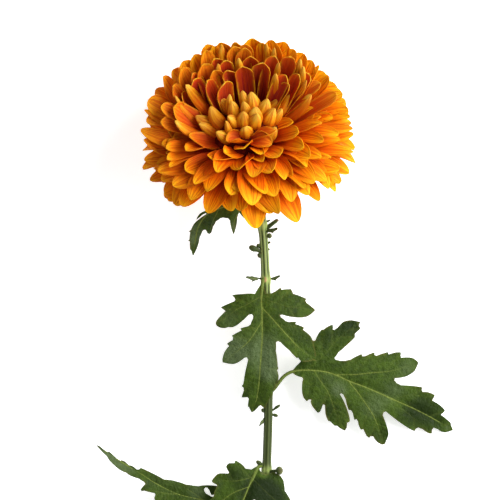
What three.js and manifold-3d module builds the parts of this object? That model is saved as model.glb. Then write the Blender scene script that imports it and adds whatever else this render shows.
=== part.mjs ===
// A large-headed chrysanthemum, cut and laid on a table: one bloom of orange ray florets on its
// green bract cup, a ridged stem with disbudded side shoots, and five lobed, toothed leaves.
//
// Millimetres, +Z up. The table is z = 0. The stem runs along Y and the bloom lies at +Y with its
// face turned up at 45 degrees. Everything is worked out in the stem's own plan, and the finished
// group is then moved so that the middle of its footprint is the origin.
import * as THREE from 'three';
import { mergeGeometries, mergeVertices } from 'three/addons/utils/BufferGeometryUtils.js';
import { TessellateModifier } from 'three/addons/modifiers/TessellateModifier.js';
import Module from 'manifold-3d';

const wasm = await Module();
wasm.setup();

// ---------------------------------------------------------------- driving dimensions (mm)
const GAP = 0.3; // left between pieces that touch

const BLOOM = {
  centre: [-0.6, 57, 38], // middle of the receptacle
  faceTilt: 45, // degrees between the bloom's axis and straight up
  faceLean: 8, // degrees the axis leans to the left of the stem
  florets: 160,
  heart: 30, // of them, closed ones in the middle
  scatter: 0.6, // how far florets stray from their regular places and shapes
  bladeThickness: 1.0,
  // Angles off the axis, in degrees, that a tier reaches sideways, on the upper and on the lower side.
  heartEdge: { side: 50, upper: 24, lower: 38 },
  firstRay: { side: 54, upper: 37, lower: 52 },
  lastRay: 100,
  // Receptacle to tip.
  heartReach: 35,
  firstReach: 47,
  lastReach: 61,
};
const CORE = { radius: 23, halfHeight: 17, middle: 11, seat: 10.5 }; // the dense mass of the florets' bases
const CUP = { radius: 11, depth: 12, neck: 2.6, bractRows: 3, bractsPerRow: 9 };
const STEM = { radius: 2.4, ridges: 5, ridgeDepth: 0.22, steps: 36, sides: 10, nodeSwell: 0.55 };
const LEAF = { thickness: 0.8, longestEdge: 17, ribSteps: 10, petioleRadius: 1.15, veinRadius: 0.55 };
const FLOOR = 0;

// The middle line of the stem, from the cut end to the neck under the bloom.
const STEM_PATH = [
  [7.0, -202.0, 2.6],
  [7.4, -160.0, 5.2],
  [8.1, -126.0, 7.5],
  [9.2, -92.0, 9.7],
  [9.6, -50.0, 12.4],
  [9.4, -17.0, 14.6],
  [7.4, 14.0, 17.0],
  [3.9, 36.0, 23.2],
];
const NODES_AT = [-158, -126, -80, -19, 14]; // where leaves join the stem, as Y

// Disbudded side shoots: where on the stem, which way they point in plan, length and radius.
const SHOOTS = [
  { y: 20, toward: [1, 0.75, 0.5], length: 9.5, radius: 1.25 },
  { y: 13, toward: [1, 0.3, 0.6], length: 6.5, radius: 1.5 },
  { y: 8, toward: [1, -0.1, 0.2], length: 4.6, radius: 1.3 },
  { y: 0, toward: [-1, 0.75, 0.35], length: 8.6, radius: 1.5 },
  { y: -3, toward: [-1, -0.2, 0.3], length: 4.6, radius: 1.2 },
  { y: -15.5, toward: [-1, 0.12, 0.2], length: 10.5, radius: 1.0 },
  { y: -15.5, toward: [1, 0.3, 0.25], length: 9.5, radius: 0.9 },
  { y: -89, toward: [1, 0.45, 0.3], length: 8.5, radius: 0.9 },
  { y: -91, toward: [-1, -0.8, 0.2], length: 8.0, radius: 0.9 },
  { y: -122, toward: [-1, 0.9, 0.5], length: 7.5, radius: 1.1 },
  { y: -124, toward: [1, 0.2, 0.5], length: 7.5, radius: 1.5 },
];

// The leaves, in plan and height. midrib: [x, y, height] from the base of the blade to its tip, and
// petiole: the same, from inside the stem. The margins are [x, y] from base to tip, and left is the
// side on the left hand of someone walking out along the midrib.
const LEAVES = {
  leaf_under_bloom: {
    droop: 0.012,
    petiole: [[6.6, 17.6, 17.2]],
    midrib: [[2.5, 18.2, 19], [-3.5, 22, 21.5], [-10.5, 25, 23], [-17.5, 24, 21.6], [-24, 21, 17.8], [-29.5, 14, 11.5],
      [-31.5, 6, 6], [-33, -3.5, 1]],
    right: [[0, 24], [-6, 27.5], [-14, 29.5], [-21, 27], [-25.5, 23], [-31.5, 18], [-30, 16.5], [-33, 14.5],
      [-35, 10.5], [-36, 5], [-34.5, 0.5]],
    left: [[-2.5, 17.5], [-6, 21], [-7, 16], [-9.5, 9], [-11.5, 14], [-14, 18.5], [-18, 18], [-21, 14],
      [-23, 9.5], [-25.5, 11.5], [-28.5, 9], [-30, 4], [-31, 0]],
  },
  leaf_centre: {
    droop: 0.0062,
    petiole: [[8.6, -14.5, 14.8]],
    midrib: [[7.2, -18.5, 17.9], [6.9, -27.5, 20.4], [7.1, -37.5, 22.3], [6.8, -49.5, 22.8], [5, -69, 20.4],
      [3.5, -82, 16.6], [1, -93.5, 12.2]],
    right: [[3.5, -23.5], [-2.5, -26.5], [-10.5, -26], [-8, -29], [-16, -33], [-14, -35], [-19, -41], [-15.5, -44.5],
      [-8, -44], [0.5, -37.5], [0, -43.5], [-5, -45], [-10, -49], [-12.5, -53.5], [-14.5, -58.5], [-15.5, -64],
      [-10, -65], [-1.5, -61.5], [-3.5, -70.5], [-4.5, -77.5], [-4, -84], [-1, -90.5]],
    left: [[10.5, -25], [17.5, -22], [23, -23], [25, -26], [32.5, -28.5], [31.5, -31], [37.5, -34.5], [34, -37.5],
      [27.5, -38.5], [17.5, -37], [20, -41], [26.5, -41.5], [31, -45], [35, -49.5], [36, -56.5], [38, -64],
      [32.5, -64], [24, -60], [16, -53], [15.5, -62.5], [16, -74], [12, -82.5], [8, -89.5]],
  },
  leaf_right: {
    droop: 0.0035,
    petiole: [[11.4, -82.6, 10.2], [16.8, -74.8, 11.8], [22, -70.6, 12.3]],
    midrib: [[27.5, -69.2, 12.4], [33.5, -68.9, 12.4], [40, -69.4, 12.2], [46.5, -71.5, 11.8], [54, -74.5, 11.2],
      [66, -79, 10.2], [76, -83, 8.8], [86.5, -87.5, 7], [97.5, -93, 4.6], [107.5, -98, 2.4], [117, -104, 0.6]],
    left: [[29, -64.5], [33, -58.5], [37, -52], [40.5, -47.5], [48, -44], [49, -46], [57.5, -41], [63.5, -42],
      [64, -45], [60.5, -50], [53, -57], [48, -63.5], [57, -63], [64.5, -60.5], [71.5, -59.5], [79, -59],
      [86, -60], [89.5, -62], [97.5, -64.5], [94.5, -70], [84, -74.5], [90, -78.5], [99, -79.5],
      [106.5, -83.5], [106.5, -87], [112.5, -93], [112, -96]],
    right: [[26.5, -72], [30.5, -74.5], [30, -79.5], [33, -87], [36, -87], [39, -94], [42, -89], [44.5, -98],
      [48.5, -101], [55, -104], [57.5, -98.5], [56, -90.5], [52.5, -83], [58.5, -91.5], [60.5, -98],
      [64.5, -103.5], [69, -108.5], [76, -112.5], [80, -106], [80, -99], [78, -93], [87.5, -101], [95, -104.5],
      [97, -102.5], [105, -106], [106.5, -103.5]],
  },
  leaf_low_centre: {
    droop: 0.006,
    petiole: [[7.8, -124, 7.8]],
    midrib: [[5, -125.2, 10.8], [2.5, -132, 13.8], [-1, -139, 15.4], [-4.5, -146.5, 16], [-8.5, -156.5, 14.8],
      [-12.5, -167.5, 11.8], [-16.5, -179, 7.4], [-21, -193.5, 0.8]],
    right: [[0.5, -124], [-3.5, -126], [-8.5, -121.5], [-13.5, -124.5], [-12, -128.5], [-18.5, -129], [-22, -133.5],
      [-19.5, -136.5], [-25, -143], [-30.5, -151], [-25, -154.5], [-16, -150.5], [-9, -146], [-14, -153.5],
      [-22, -159.5], [-29, -167.5], [-33, -176.5], [-25.5, -177], [-16.5, -170], [-21.5, -179], [-24, -187]],
    left: [[7.5, -127], [14, -128], [18.5, -132.5], [19.5, -138], [23, -144], [26.5, -153], [19.5, -153.5],
      [11.5, -149.5], [1.5, -143], [4.5, -151], [10.5, -157.5], [15, -165], [16.5, -174.5], [9, -173], [1, -168],
      [-6, -161.5], [-6, -172], [-10, -180.5], [-15, -188.5]],
  },
  leaf_low_left: {
    droop: 0.0065,
    petiole: [[7, -157, 5]],
    midrib: [[0, -153.7, 5.8], [-8, -150, 6.2], [-18.5, -146.5, 6.4], [-29, -144, 6.4], [-40.5, -141.3, 7],
      [-53, -135.5, 8.4], [-64.5, -128, 10.6], [-76, -119.5, 13.6], [-88.5, -112, 17.5]],
    right: [[-6, -146.5], [-12.5, -141], [-18.5, -137.5], [-25.5, -136], [-33.5, -135.5], [-41.5, -134],
      [-49.5, -132.5], [-55.5, -130], [-63, -126], [-67, -125.5], [-74.5, -120], [-81.5, -115]],
    left: [[-7, -155], [-13, -158.5], [-20, -158], [-25.5, -152], [-30, -158], [-37, -166], [-43, -168.5],
      [-43.5, -161.5], [-47, -158], [-45.5, -151], [-48.5, -146], [-55, -146.5], [-57, -142.5], [-63, -138],
      [-60.5, -134.5], [-68, -130.5], [-75, -125], [-81.5, -119]],
  },
};

// ---------------------------------------------------------------- small tools
const radians = THREE.MathUtils.degToRad;
const lerp = THREE.MathUtils.lerp;
const smooth = (x) => THREE.MathUtils.smoothstep(x, 0, 1);
const vec = (p) => new THREE.Vector3(...p);

/** A fixed scatter from 0 to 1 for floret n and purpose k. */
function scatter(n, k) {
  const x = Math.sin(n * 12.9898 + k * 78.233) * 43758.5453;
  return x - Math.floor(x);
}

/** A BufferGeometry from corner points and triangles. */
function geometryFrom(points, triangles) {
  const geometry = new THREE.BufferGeometry();
  geometry.setAttribute('position', new THREE.Float32BufferAttribute(points.flat(), 3));
  geometry.setIndex(triangles.flat());
  return geometry;
}

function solidOf(geometry) {
  const bare = geometry.clone();
  bare.deleteAttribute('normal');
  bare.deleteAttribute('uv');
  const merged = mergeVertices(bare, 1e-4);
  const solid = new wasm.Manifold(new wasm.Mesh({
    numProp: 3,
    vertProperties: new Float32Array(merged.attributes.position.array),
    triVerts: new Uint32Array(merged.index.array),
  }));
  if (solid.volume() <= 0) throw new Error('a solid is inside out');
  return solid;
}

function geometryOf(solid) {
  const mesh = solid.getMesh();
  const geometry = new THREE.BufferGeometry();
  geometry.setAttribute('position', new THREE.BufferAttribute(mesh.vertProperties, 3));
  geometry.setIndex(new THREE.BufferAttribute(mesh.triVerts, 1));
  return geometry;
}

/** The largest body of a solid: what a join leaves loose is dropped. */
function mainBody(solid) {
  const bodies = solid.decompose();
  return bodies.reduce((most, body) => (body.volume() > most.volume() ? body : most));
}

/** Closed rings of points joined in order, with a flat end or a point at each end. */
function loft(rings, start, end) {
  const sides = rings[0].length;
  const points = [...rings.flat(), start, end];
  const triangles = [];
  for (let i = 0; i < rings.length - 1; i++) {
    for (let k = 0; k < sides; k++) {
      const a = i * sides + k;
      const b = i * sides + ((k + 1) % sides);
      triangles.push([a, b, b + sides], [a, b + sides, a + sides]);
    }
  }
  const first = points.length - 2;
  const last = (rings.length - 1) * sides;
  for (let k = 0; k < sides; k++) {
    triangles.push([first, (k + 1) % sides, k]);
    triangles.push([first + 1, last + k, last + ((k + 1) % sides)]);
  }
  return geometryFrom(points, triangles);
}

/** A tube along a curve: radiusAt(share of length, angle) gives its outside. */
function sweep(curve, steps, sides, radiusAt) {
  const frames = curve.computeFrenetFrames(steps, false);
  const rings = [];
  for (let i = 0; i <= steps; i++) {
    const middle = curve.getPointAt(i / steps);
    rings.push(Array.from({ length: sides }, (_, k) => {
      const angle = (k / sides) * 2 * Math.PI;
      const r = radiusAt(i / steps, angle);
      return middle.clone()
        .addScaledVector(frames.normals[i], r * Math.cos(angle))
        .addScaledVector(frames.binormals[i], r * Math.sin(angle))
        .toArray();
    }));
  }
  return loft(rings, curve.getPointAt(0).toArray(), curve.getPointAt(1).toArray());
}

// ---------------------------------------------------------------- the bloom
/** The bloom's own axes: u to the right, v up its face, w out of its face. */
function bloomAxes() {
  const tilt = radians(BLOOM.faceTilt);
  const lean = radians(BLOOM.faceLean);
  const u = new THREE.Vector3(Math.cos(lean), Math.sin(lean), 0);
  const v = new THREE.Vector3(-Math.sin(lean) * Math.cos(tilt), Math.cos(lean) * Math.cos(tilt), -Math.sin(tilt));
  return new THREE.Matrix4().makeBasis(u, v, u.clone().cross(v)).setPosition(...BLOOM.centre);
}

/** Where floret n stands and how it is shaped. The florets follow a golden-angle spiral outwards. */
function floret(n) {
  const inHeart = n < BLOOM.heart;
  const h = Math.min(1, (n + 0.5) / BLOOM.heart); // 0 to 1 across the heart
  const q = Math.max(0, (n - BLOOM.heart + 0.5) / (BLOOM.florets - BLOOM.heart)); // 0 to 1 outwards
  const jitter = (k) => (scatter(n, k) * 2 - 1) * BLOOM.scatter;
  const around = radians(n * 137.507764 + jitter(2) * 10);
  const rise = Math.sin(around); // 1 on the upper side of the face, -1 on the lower
  const aside = Math.cos(around); // 1 on the right, -1 on the left
  const upper = Math.max(rise, 0);
  const lower = Math.max(-rise, 0);
  const edge = (at) => radians(1 / Math.hypot(aside / at.side, rise / (rise > 0 ? at.upper : at.lower)));
  const off = radians(jitter(1) * 5) + (inHeart ? Math.sqrt(h) * edge(BLOOM.heartEdge)
    : Math.acos(lerp(Math.cos(edge(BLOOM.firstRay)), Math.cos(radians(BLOOM.lastRay)), q)));
  const reach = (1 + jitter(3) * 0.05) * (inHeart ? BLOOM.heartReach + 4 * h + 2 * h * Math.abs(aside)
    : lerp(BLOOM.firstReach + 2 * lower, BLOOM.lastReach + 5.5 * upper - 6 * lower, smooth(q / 0.42)));
  const tip = new THREE.Vector3(Math.sin(off) * aside, Math.sin(off) * rise, Math.cos(off))
    .applyAxisAngle(new THREE.Vector3(1, 0, 0), radians(inHeart ? 5 : 4 * (1 - q)))
    .multiplyScalar(reach);
  const rootRadius = inHeart ? 7 * Math.sqrt(h) : 7 + 3.5 * Math.sqrt(q);
  const root = new THREE.Vector3(
    rootRadius * aside, rootRadius * rise - (inHeart ? 4 : 0), inHeart ? 11 - 2 * h : 10 - 7 * q).lerp(tip, 0.08);
  const outward = smooth(q);
  const rolled = smooth((scatter(n, 10) - 0.66) / 0.1) * (1 - smooth((q - 0.12) / 0.25));
  const open = (50 - 26 * smooth(q / 0.5)) * (1 + 0.35 * rise - 0.15 * aside) + 50 * rolled;
  return {
    root,
    tip,
    around,
    length: root.distanceTo(tip),
    width: (inHeart ? 6.4 + 2 * h : 12 + 3.4 * smooth(q / 0.8) + 1.6 * lower * (1 - q)) * (1 + jitter(4) * 0.13),
    bow: jitter(5) * 0.05 + (inHeart ? 0.15 - 0.03 * h
      : lerp(0.03 + 0.15 * rise - 0.05 * aside, -0.06 + 0.05 * rise - 0.03 * aside, outward)),
    wrap: radians((inHeart ? 168 - 30 * h : open) * (1 + jitter(6) * 0.25)), // half the angle it closes round
    twist: radians(jitter(7) * (inHeart ? 20 : 26)),
    roll: radians(jitter(8) * (inHeart ? 14 : 18)),
    side: jitter(11) * 0.07,
    point: inHeart ? 1.6 : 2.1 + 1.8 * scatter(n, 9), // higher is blunter
  };
}

/** How far out in the core a point is: 0 in its middle, 1 on its surface. */
function coreShare(p) {
  return Math.hypot(p.x / CORE.radius, p.y / CORE.radius, (p.z - CORE.middle) / CORE.halfHeight);
}

/** A floret as a four-sided blade: two edges, a middle line on its face and one on its back. */
function floretBlade(n) {
  const f = floret(n);
  const chord = f.tip.clone().sub(f.root);
  const along = chord.clone().normalize();
  let across = new THREE.Vector3(0, 0, 1).cross(along);
  if (across.length() < 0.15) across.set(-Math.sin(f.around), Math.cos(f.around), 0);
  across.addScaledVector(along, -across.dot(along)).normalize();
  const face = along.clone().cross(across);
  across.applyAxisAngle(along, f.roll);
  face.applyAxisAngle(along, f.roll);
  const knee = f.root.clone().add(f.tip).multiplyScalar(0.5).addScaledVector(chord, 0.12)
    .addScaledVector(face, -f.bow * f.length * 2)
    .addScaledVector(across, f.side * f.length * 2);
  const line = new THREE.QuadraticBezierCurve3(f.root, knee, f.tip);
  // The blade starts where it is well inside the core.
  let start = 0;
  while (start < 0.6 && coreShare(line.getPoint(start)) < 0.74) start += 0.02;
  const axes = bloomAxes();
  const rings = [start, lerp(start, 1, 0.42), 0.78, 0.95].map((s) => {
    const tangent = line.getTangent(s);
    const normal = tangent.clone().cross(across).normalize();
    const turn = f.twist * s ** 1.5;
    const b = across.clone().multiplyScalar(Math.cos(turn)).addScaledVector(normal, Math.sin(turn));
    const c = normal.multiplyScalar(Math.cos(turn)).addScaledVector(across, -Math.sin(turn));
    const e = Math.max(0, (s - 0.66) / 0.34);
    const width = f.width * lerp(0.34, 1, smooth(s / 0.62)) * (1 - e ** f.point) ** 0.6;
    const wrap = f.wrap * (1 - 0.25 * smooth((s - 0.6) / 0.4));
    const widest = Math.min(wrap, Math.PI / 2);
    const radius = width / 2 / Math.sin(widest);
    const inside = wrap > widest ? radius * (1 - Math.cos(wrap)) : BLOOM.bladeThickness / 2;
    const at = (x, y) => line.getPoint(s).addScaledVector(b, x).addScaledVector(c, y).applyMatrix4(axes);
    const lift = radius * (1 - Math.cos(widest));
    return [at(-width / 2, lift), at(0, -BLOOM.bladeThickness / 2), at(width / 2, lift), at(0, inside)];
  });
  const end = f.tip.clone().applyMatrix4(axes);
  const base = line.getPoint(start).applyMatrix4(axes);
  // Florets that reach the table lie flat on it.
  for (const ring of rings) {
    ring.forEach((p, k) => {
      p.z = Math.max(p.z, k === 3 ? FLOOR + BLOOM.bladeThickness : FLOOR);
    });
  }
  end.z = Math.max(end.z, FLOOR);
  return loft(rings.map((ring) => ring.map((p) => p.toArray())), base.toArray(), end.toArray());
}

function bloom() {
  const profile = [new THREE.Vector2(0, GAP), new THREE.Vector2(CORE.seat, GAP)];
  for (const rise of [-28, -4, 20, 44, 68, 90]) {
    profile.push(new THREE.Vector2(
      CORE.radius * Math.cos(radians(rise)), CORE.middle + CORE.halfHeight * Math.sin(radians(rise))));
  }
  const core = new THREE.LatheGeometry(profile, 14);
  core.rotateX(Math.PI / 2);
  core.applyMatrix4(bloomAxes());
  const blades = Array.from({ length: BLOOM.florets }, (_, n) => solidOf(floretBlade(n)));
  return mainBody(wasm.Manifold.union([solidOf(core), ...blades]));
}

// ---------------------------------------------------------------- the bract cup
function bractCup() {
  const axes = bloomAxes();
  const profile = [[0, -CUP.depth], [CUP.neck + 0.3, -CUP.depth], [6, -9.5], [9.2, -6], [CUP.radius - 0.8, -2.5],
    [CUP.radius - 0.6, 0], [0, 0]];
  const cup = new THREE.LatheGeometry(profile.map(([r, w]) => new THREE.Vector2(r, w)), 22);
  cup.rotateX(Math.PI / 2);
  cup.applyMatrix4(axes);
  const pieces = [solidOf(cup)];
  for (let row = 0; row < CUP.bractRows; row++) {
    for (let k = 0; k < CUP.bractsPerRow; k++) {
      const angle = ((k + row * 0.5) / CUP.bractsPerRow) * 2 * Math.PI;
      const low = -10.2 + row * 3;
      const radiusAt = [5.0, 8.4, 10.0][row];
      const out = new THREE.Vector3(Math.cos(angle), Math.sin(angle), 0);
      const round = new THREE.Vector3(-Math.sin(angle), Math.cos(angle), 0);
      const at = (r, w, x) => out.clone().multiplyScalar(r).addScaledVector(round, x)
        .add(new THREE.Vector3(0, 0, w)).applyMatrix4(axes).toArray();
      const rings = [[0, 1.6], [3.2, 2.4]].map(([up, half], i) => {
        const r = radiusAt + [0.1, 1.8][i];
        return [at(r - 1.2, low + up, half), at(r - 1.8, low + up, 0), at(r - 1.2, low + up, -half), at(r, low + up, 0)];
      });
      const tipAt = at(radiusAt + [2.0, 1.9, 1.3][row], Math.min(low + 6, -0.4), 0);
      pieces.push(solidOf(loft(rings, at(radiusAt - 0.7, low, 0), tipAt)));
    }
  }
  return mainBody(wasm.Manifold.union(pieces));
}

// ---------------------------------------------------------------- the stem
function stemCurve() {
  const neck = new THREE.Vector3(0, 0, -CUP.depth - GAP).applyMatrix4(bloomAxes());
  const under = new THREE.Vector3(0, 0, -CUP.depth - 8).applyMatrix4(bloomAxes());
  return new THREE.CatmullRomCurve3([...STEM_PATH.map(vec), under, neck], false, 'centripetal');
}

/** The share of the stem's length at which it passes a given Y. */
function stemShareAt(curve, y) {
  let low = 0;
  let high = 1;
  for (let i = 0; i < 30; i++) {
    const mid = (low + high) / 2;
    if (curve.getPointAt(mid).y < y) low = mid;
    else high = mid;
  }
  return low;
}

function stemTube(extra) {
  const curve = stemCurve();
  const nodes = NODES_AT.map((y) => stemShareAt(curve, y));
  const length = curve.getLength();
  const hump = (distance) => STEM.nodeSwell * Math.exp(-distance * distance / 9);
  return solidOf(sweep(curve, STEM.steps, STEM.sides, (share, angle) => {
    const swell = nodes.reduce((sum, node) => sum + hump((share - node) * length), 0);
    return STEM.radius + extra + swell + STEM.ridgeDepth * Math.cos(STEM.ridges * angle);
  }));
}

function stem() {
  const curve = stemCurve();
  const pieces = [stemTube(0)];
  for (const shoot of SHOOTS) {
    const root = curve.getPointAt(stemShareAt(curve, shoot.y));
    const toward = vec(shoot.toward).normalize();
    const bend = root.clone().addScaledVector(toward, shoot.length * 0.6).add(new THREE.Vector3(0, 0.8, 0));
    const line = new THREE.QuadraticBezierCurve3(root, bend, root.clone().addScaledVector(toward, shoot.length)
      .add(new THREE.Vector3(0, 1.2, 0)));
    pieces.push(solidOf(sweep(line, 3, 5, (share) => shoot.radius * [0.75, 1, 1.1, 0.35][Math.round(share * 3)])));
  }
  return mainBody(wasm.Manifold.union(pieces));
}

// ---------------------------------------------------------------- the leaves
/** One half of a leaf's blade in plan, between its midrib and one margin, as flat triangles. */
function halfBlade(midrib, margin) {
  const outline = [...midrib, ...margin.slice().reverse()];
  return new THREE.ShapeGeometry(new THREE.Shape(outline.map(([x, y]) => new THREE.Vector2(x, y)))).toNonIndexed();
}

/** The height of a leaf over the table at (x, y), from the nearest point of its midrib. */
function leafHeight(leaf, ribPoints, x, y) {
  let nearest = ribPoints[0];
  let away = Infinity;
  for (const p of ribPoints) {
    const distance = Math.hypot(p.x - x, p.y - y);
    if (distance < away) [nearest, away] = [p, distance];
  }
  const fold = 0.16 * Math.min(away, 5); // the blade rises a little on both sides of the midrib
  const z = nearest.z + fold - leaf.droop * away * away;
  const least = FLOOR + LEAF.thickness / 2;
  return z > least + 2 ? z : least + 2 * Math.exp((z - least - 2) / 2); // eases down onto the table
}

/** A thin blade lifted into shape: its top and underside are split alike and joined round the margin. */
function bladeSolid(leaf) {
  const ribPoints = new THREE.CatmullRomCurve3(leaf.midrib.map(vec), false, 'centripetal').getPoints(60);
  const halves = mergeGeometries([halfBlade(leaf.midrib, leaf.left), halfBlade(leaf.midrib, leaf.right)]);
  const bare = new THREE.BufferGeometry().setAttribute('position', halves.attributes.position);
  const sheet = mergeVertices(new TessellateModifier(LEAF.longestEdge, 8).modify(bare), 1e-3);
  const plan = sheet.attributes.position;
  const points = [];
  for (const side of [1, -1]) {
    for (let i = 0; i < plan.count; i++) {
      const [x, y] = [plan.getX(i), plan.getY(i)];
      points.push([x, y, leafHeight(leaf, ribPoints, x, y) + side * LEAF.thickness / 2]);
    }
  }
  const corners = sheet.index.array;
  const triangles = [];
  const margin = new Map();
  for (let i = 0; i < corners.length; i += 3) {
    const [a, b, c] = corners.slice(i, i + 3);
    triangles.push([a, b, c], [c + plan.count, b + plan.count, a + plan.count]);
    for (const [p, r] of [[a, b], [b, c], [c, a]]) {
      if (!margin.delete(`${r},${p}`)) margin.set(`${p},${r}`, [p, r]);
    }
  }
  for (const [p, r] of margin.values()) {
    triangles.push([r, p, p + plan.count], [r, p + plan.count, r + plan.count]);
  }
  return solidOf(geometryFrom(points, triangles));
}

/** A leaf: its blade, with the petiole running on under it as the main vein, cut clear of the stem. */
function leafSolid(leaf, table, stemSpace) {
  const line = new THREE.CatmullRomCurve3([...leaf.petiole, ...leaf.midrib].map(vec), false, 'centripetal');
  const rib = solidOf(sweep(line, LEAF.ribSteps, 6, (share) => (
    lerp(LEAF.petioleRadius, LEAF.veinRadius, Math.min(1, share * 1.6)) * (share > 0.95 ? 0.3 : 1))));
  return mainBody(wasm.Manifold.union([bladeSolid(leaf), rib]).subtract(stemSpace).subtract(table));
}

// ---------------------------------------------------------------- the whole flower
const green = (colour, roughness) => new THREE.MeshStandardMaterial({ color: colour, roughness, metalness: 0 });
const petals = new THREE.MeshStandardMaterial({ color: 0xe8790c, roughness: 0.55, metalness: 0 });
const flower = new THREE.Group();
flower.name = 'chrysanthemum';

function add(name, solid, material) {
  const mesh = new THREE.Mesh(geometryOf(solid), material);
  mesh.name = name;
  flower.add(mesh);
}

const table = solidOf(new THREE.BoxGeometry(600, 600, 60).translate(0, 0, FLOOR - 30));
const stemSpace = stemTube(GAP);
add('bloom', bloom(), petals);
add('bract_cup', bractCup(), green(0x5f7a3a, 0.6));
add('stem', stem(), green(0x6d8a4c, 0.5));
for (const [name, leaf] of Object.entries(LEAVES)) {
  add(name, leafSolid(leaf, table, stemSpace), green(0x3c5a2a, 0.55));
}

const footprint = new THREE.Box3().setFromObject(flower);
const middle = footprint.getCenter(new THREE.Vector3());
flower.position.set(-middle.x, -middle.y, 0);

export default flower;
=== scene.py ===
"""A cut, large-headed orange chrysanthemum lying on a pale table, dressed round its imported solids.

Sizes are millimetres in the flower's own plan: its stem runs along Y with the bloom at +Y, +X is to
the right and +Z is up from the table. A Plan turns them into the frame's metres.
"""

import logging
import math
from dataclasses import astuple, dataclass, field
from enum import Enum, IntEnum

import bpy
import numpy as np
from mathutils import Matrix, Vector
from mathutils.geometry import delaunay_2d_cdt


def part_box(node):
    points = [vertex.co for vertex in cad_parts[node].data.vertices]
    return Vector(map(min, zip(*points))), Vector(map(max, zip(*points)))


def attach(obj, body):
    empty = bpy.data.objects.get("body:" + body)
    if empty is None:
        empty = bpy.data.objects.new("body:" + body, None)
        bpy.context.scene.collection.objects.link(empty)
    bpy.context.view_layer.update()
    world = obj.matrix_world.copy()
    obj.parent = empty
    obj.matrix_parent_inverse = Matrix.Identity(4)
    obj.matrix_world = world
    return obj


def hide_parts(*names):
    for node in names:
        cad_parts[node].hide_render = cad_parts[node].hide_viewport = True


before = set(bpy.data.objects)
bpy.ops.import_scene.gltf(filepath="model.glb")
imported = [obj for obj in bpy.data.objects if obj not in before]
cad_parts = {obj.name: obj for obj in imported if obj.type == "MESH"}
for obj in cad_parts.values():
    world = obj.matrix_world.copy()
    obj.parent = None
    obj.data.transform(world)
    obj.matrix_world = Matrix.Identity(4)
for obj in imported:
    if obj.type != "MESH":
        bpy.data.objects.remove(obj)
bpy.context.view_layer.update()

MM = 0.001
GOLDEN_ANGLE = math.radians(137.507764)
SHARP_ANGLE = math.radians(62)
log = logging.getLogger("chrysanthemum")

Array = np.ndarray
Values = dict[str, Array | float]
Place = tuple[float, float, float]
Colour = tuple[float, float, float]
Stops = tuple[tuple[float, Colour], ...]
Node, NodeTree = bpy.types.Node, bpy.types.NodeTree
Socket, Material = bpy.types.NodeSocket, bpy.types.Material
Term = Socket | float
Terms = dict[str | int, Term | Colour]


class Slot(Enum):
    """The record's material slots."""

    FLORETS = "florets"
    BRACTS = "bracts"
    STEM = "stem"
    LEAF = "leaf"


class ShootForm(Enum):
    """What a side shoot was left as when the stem was disbudded."""

    STUB = "stub"
    BUD = "bud"
    ROUND = "round bud"
    LEAFLET = "leaflet"


class Trait(IntEnum):
    """What a scattered number is for. Bracts and leaves use some of the florets' numbers again."""

    OFF, AROUND, REACH, WIDTH, BOW, WRAP, TWIST, ROLL, BLUNT, FORM, SIDE, AGE, ROOT_U, ROOT_V = range(1, 15)
    TONE = 20
    BRACT_LENGTH, BRACT_LIFT, BRACT_PLACE, BRACT_TONE, LEAF_RIM = range(3, 8)


# ---------------------------------------------------------------- numbers


def scatter(index: Array, trait: Trait) -> Array:
    """A fixed scatter from 0 to 1: the fraction left of 43758.5453 sin(12.9898 index + 78.233 trait)."""
    value = np.sin(index * 12.9898 + trait * 78.233) * 43758.5453
    return value - np.floor(value)


def smooth(x: Array | float) -> Array | float:
    """The S curve 3x^2 - 2x^3 from 0 to 1, flat on both sides of them."""
    x = np.clip(x, 0.0, 1.0)
    return x * x * (3.0 - 2.0 * x)


def lerp(start: Array | float, end: Array | float, share: Array | float) -> Array | float:
    """The value that lies a share of the way from start to end."""
    return start + (end - start) * share


def unit(vectors: Array) -> Array:
    """The same vectors, each one long."""
    return vectors / np.linalg.norm(vectors, axis=-1, keepdims=True)


def spline(points: Array, count: int) -> Array:
    """A centripetal Catmull-Rom curve through points.

    Between two points it is the cubic with their places and with tangents worked out from the
    neighbours, each neighbour's distance counting as its square root.

    Args:
        points: The points that it runs through, (n, 2) or (n, 3).
        count: How many steps it is divided into.

    Returns:
        count + 1 points along the curve.
    """
    p = np.concatenate([[2 * points[0] - points[1]], points, [2 * points[-1] - points[-2]]])
    place = np.linspace(0, len(points) - 1, count + 1)
    span = np.minimum(place.astype(int), len(points) - 2)
    t = (place - span)[:, None]
    a, b, c, d = (p[span + k] for k in range(4))
    ab, bc, cd = (np.sqrt(np.linalg.norm(q - r, axis=1))[:, None] for q, r in ((b, a), (c, b), (d, c)))
    leave = ((b - a) / ab - (c - a) / (ab + bc) + (c - b) / bc) * bc
    arrive = ((c - b) / bc - (d - b) / (bc + cd) + (d - c) / cd) * bc
    return ((2 * t**3 - 3 * t**2 + 1) * b + (t**3 - 2 * t**2 + t) * leave
            + (3 * t**2 - 2 * t**3) * c + (t**3 - t**2) * arrive)


def even(line: Array, count: int) -> Array:
    """A line's points again, the same distance apart.

    Args:
        line: Points along the line.
        count: How many steps of the same length to divide it into.

    Returns:
        count + 1 points along it.
    """
    walked = np.concatenate([[0], np.cumsum(np.linalg.norm(np.diff(line, axis=0), axis=1))])
    wanted = np.linspace(0, walked[-1], count + 1)
    return np.stack([np.interp(wanted, walked, column) for column in line.T], axis=-1)


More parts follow.
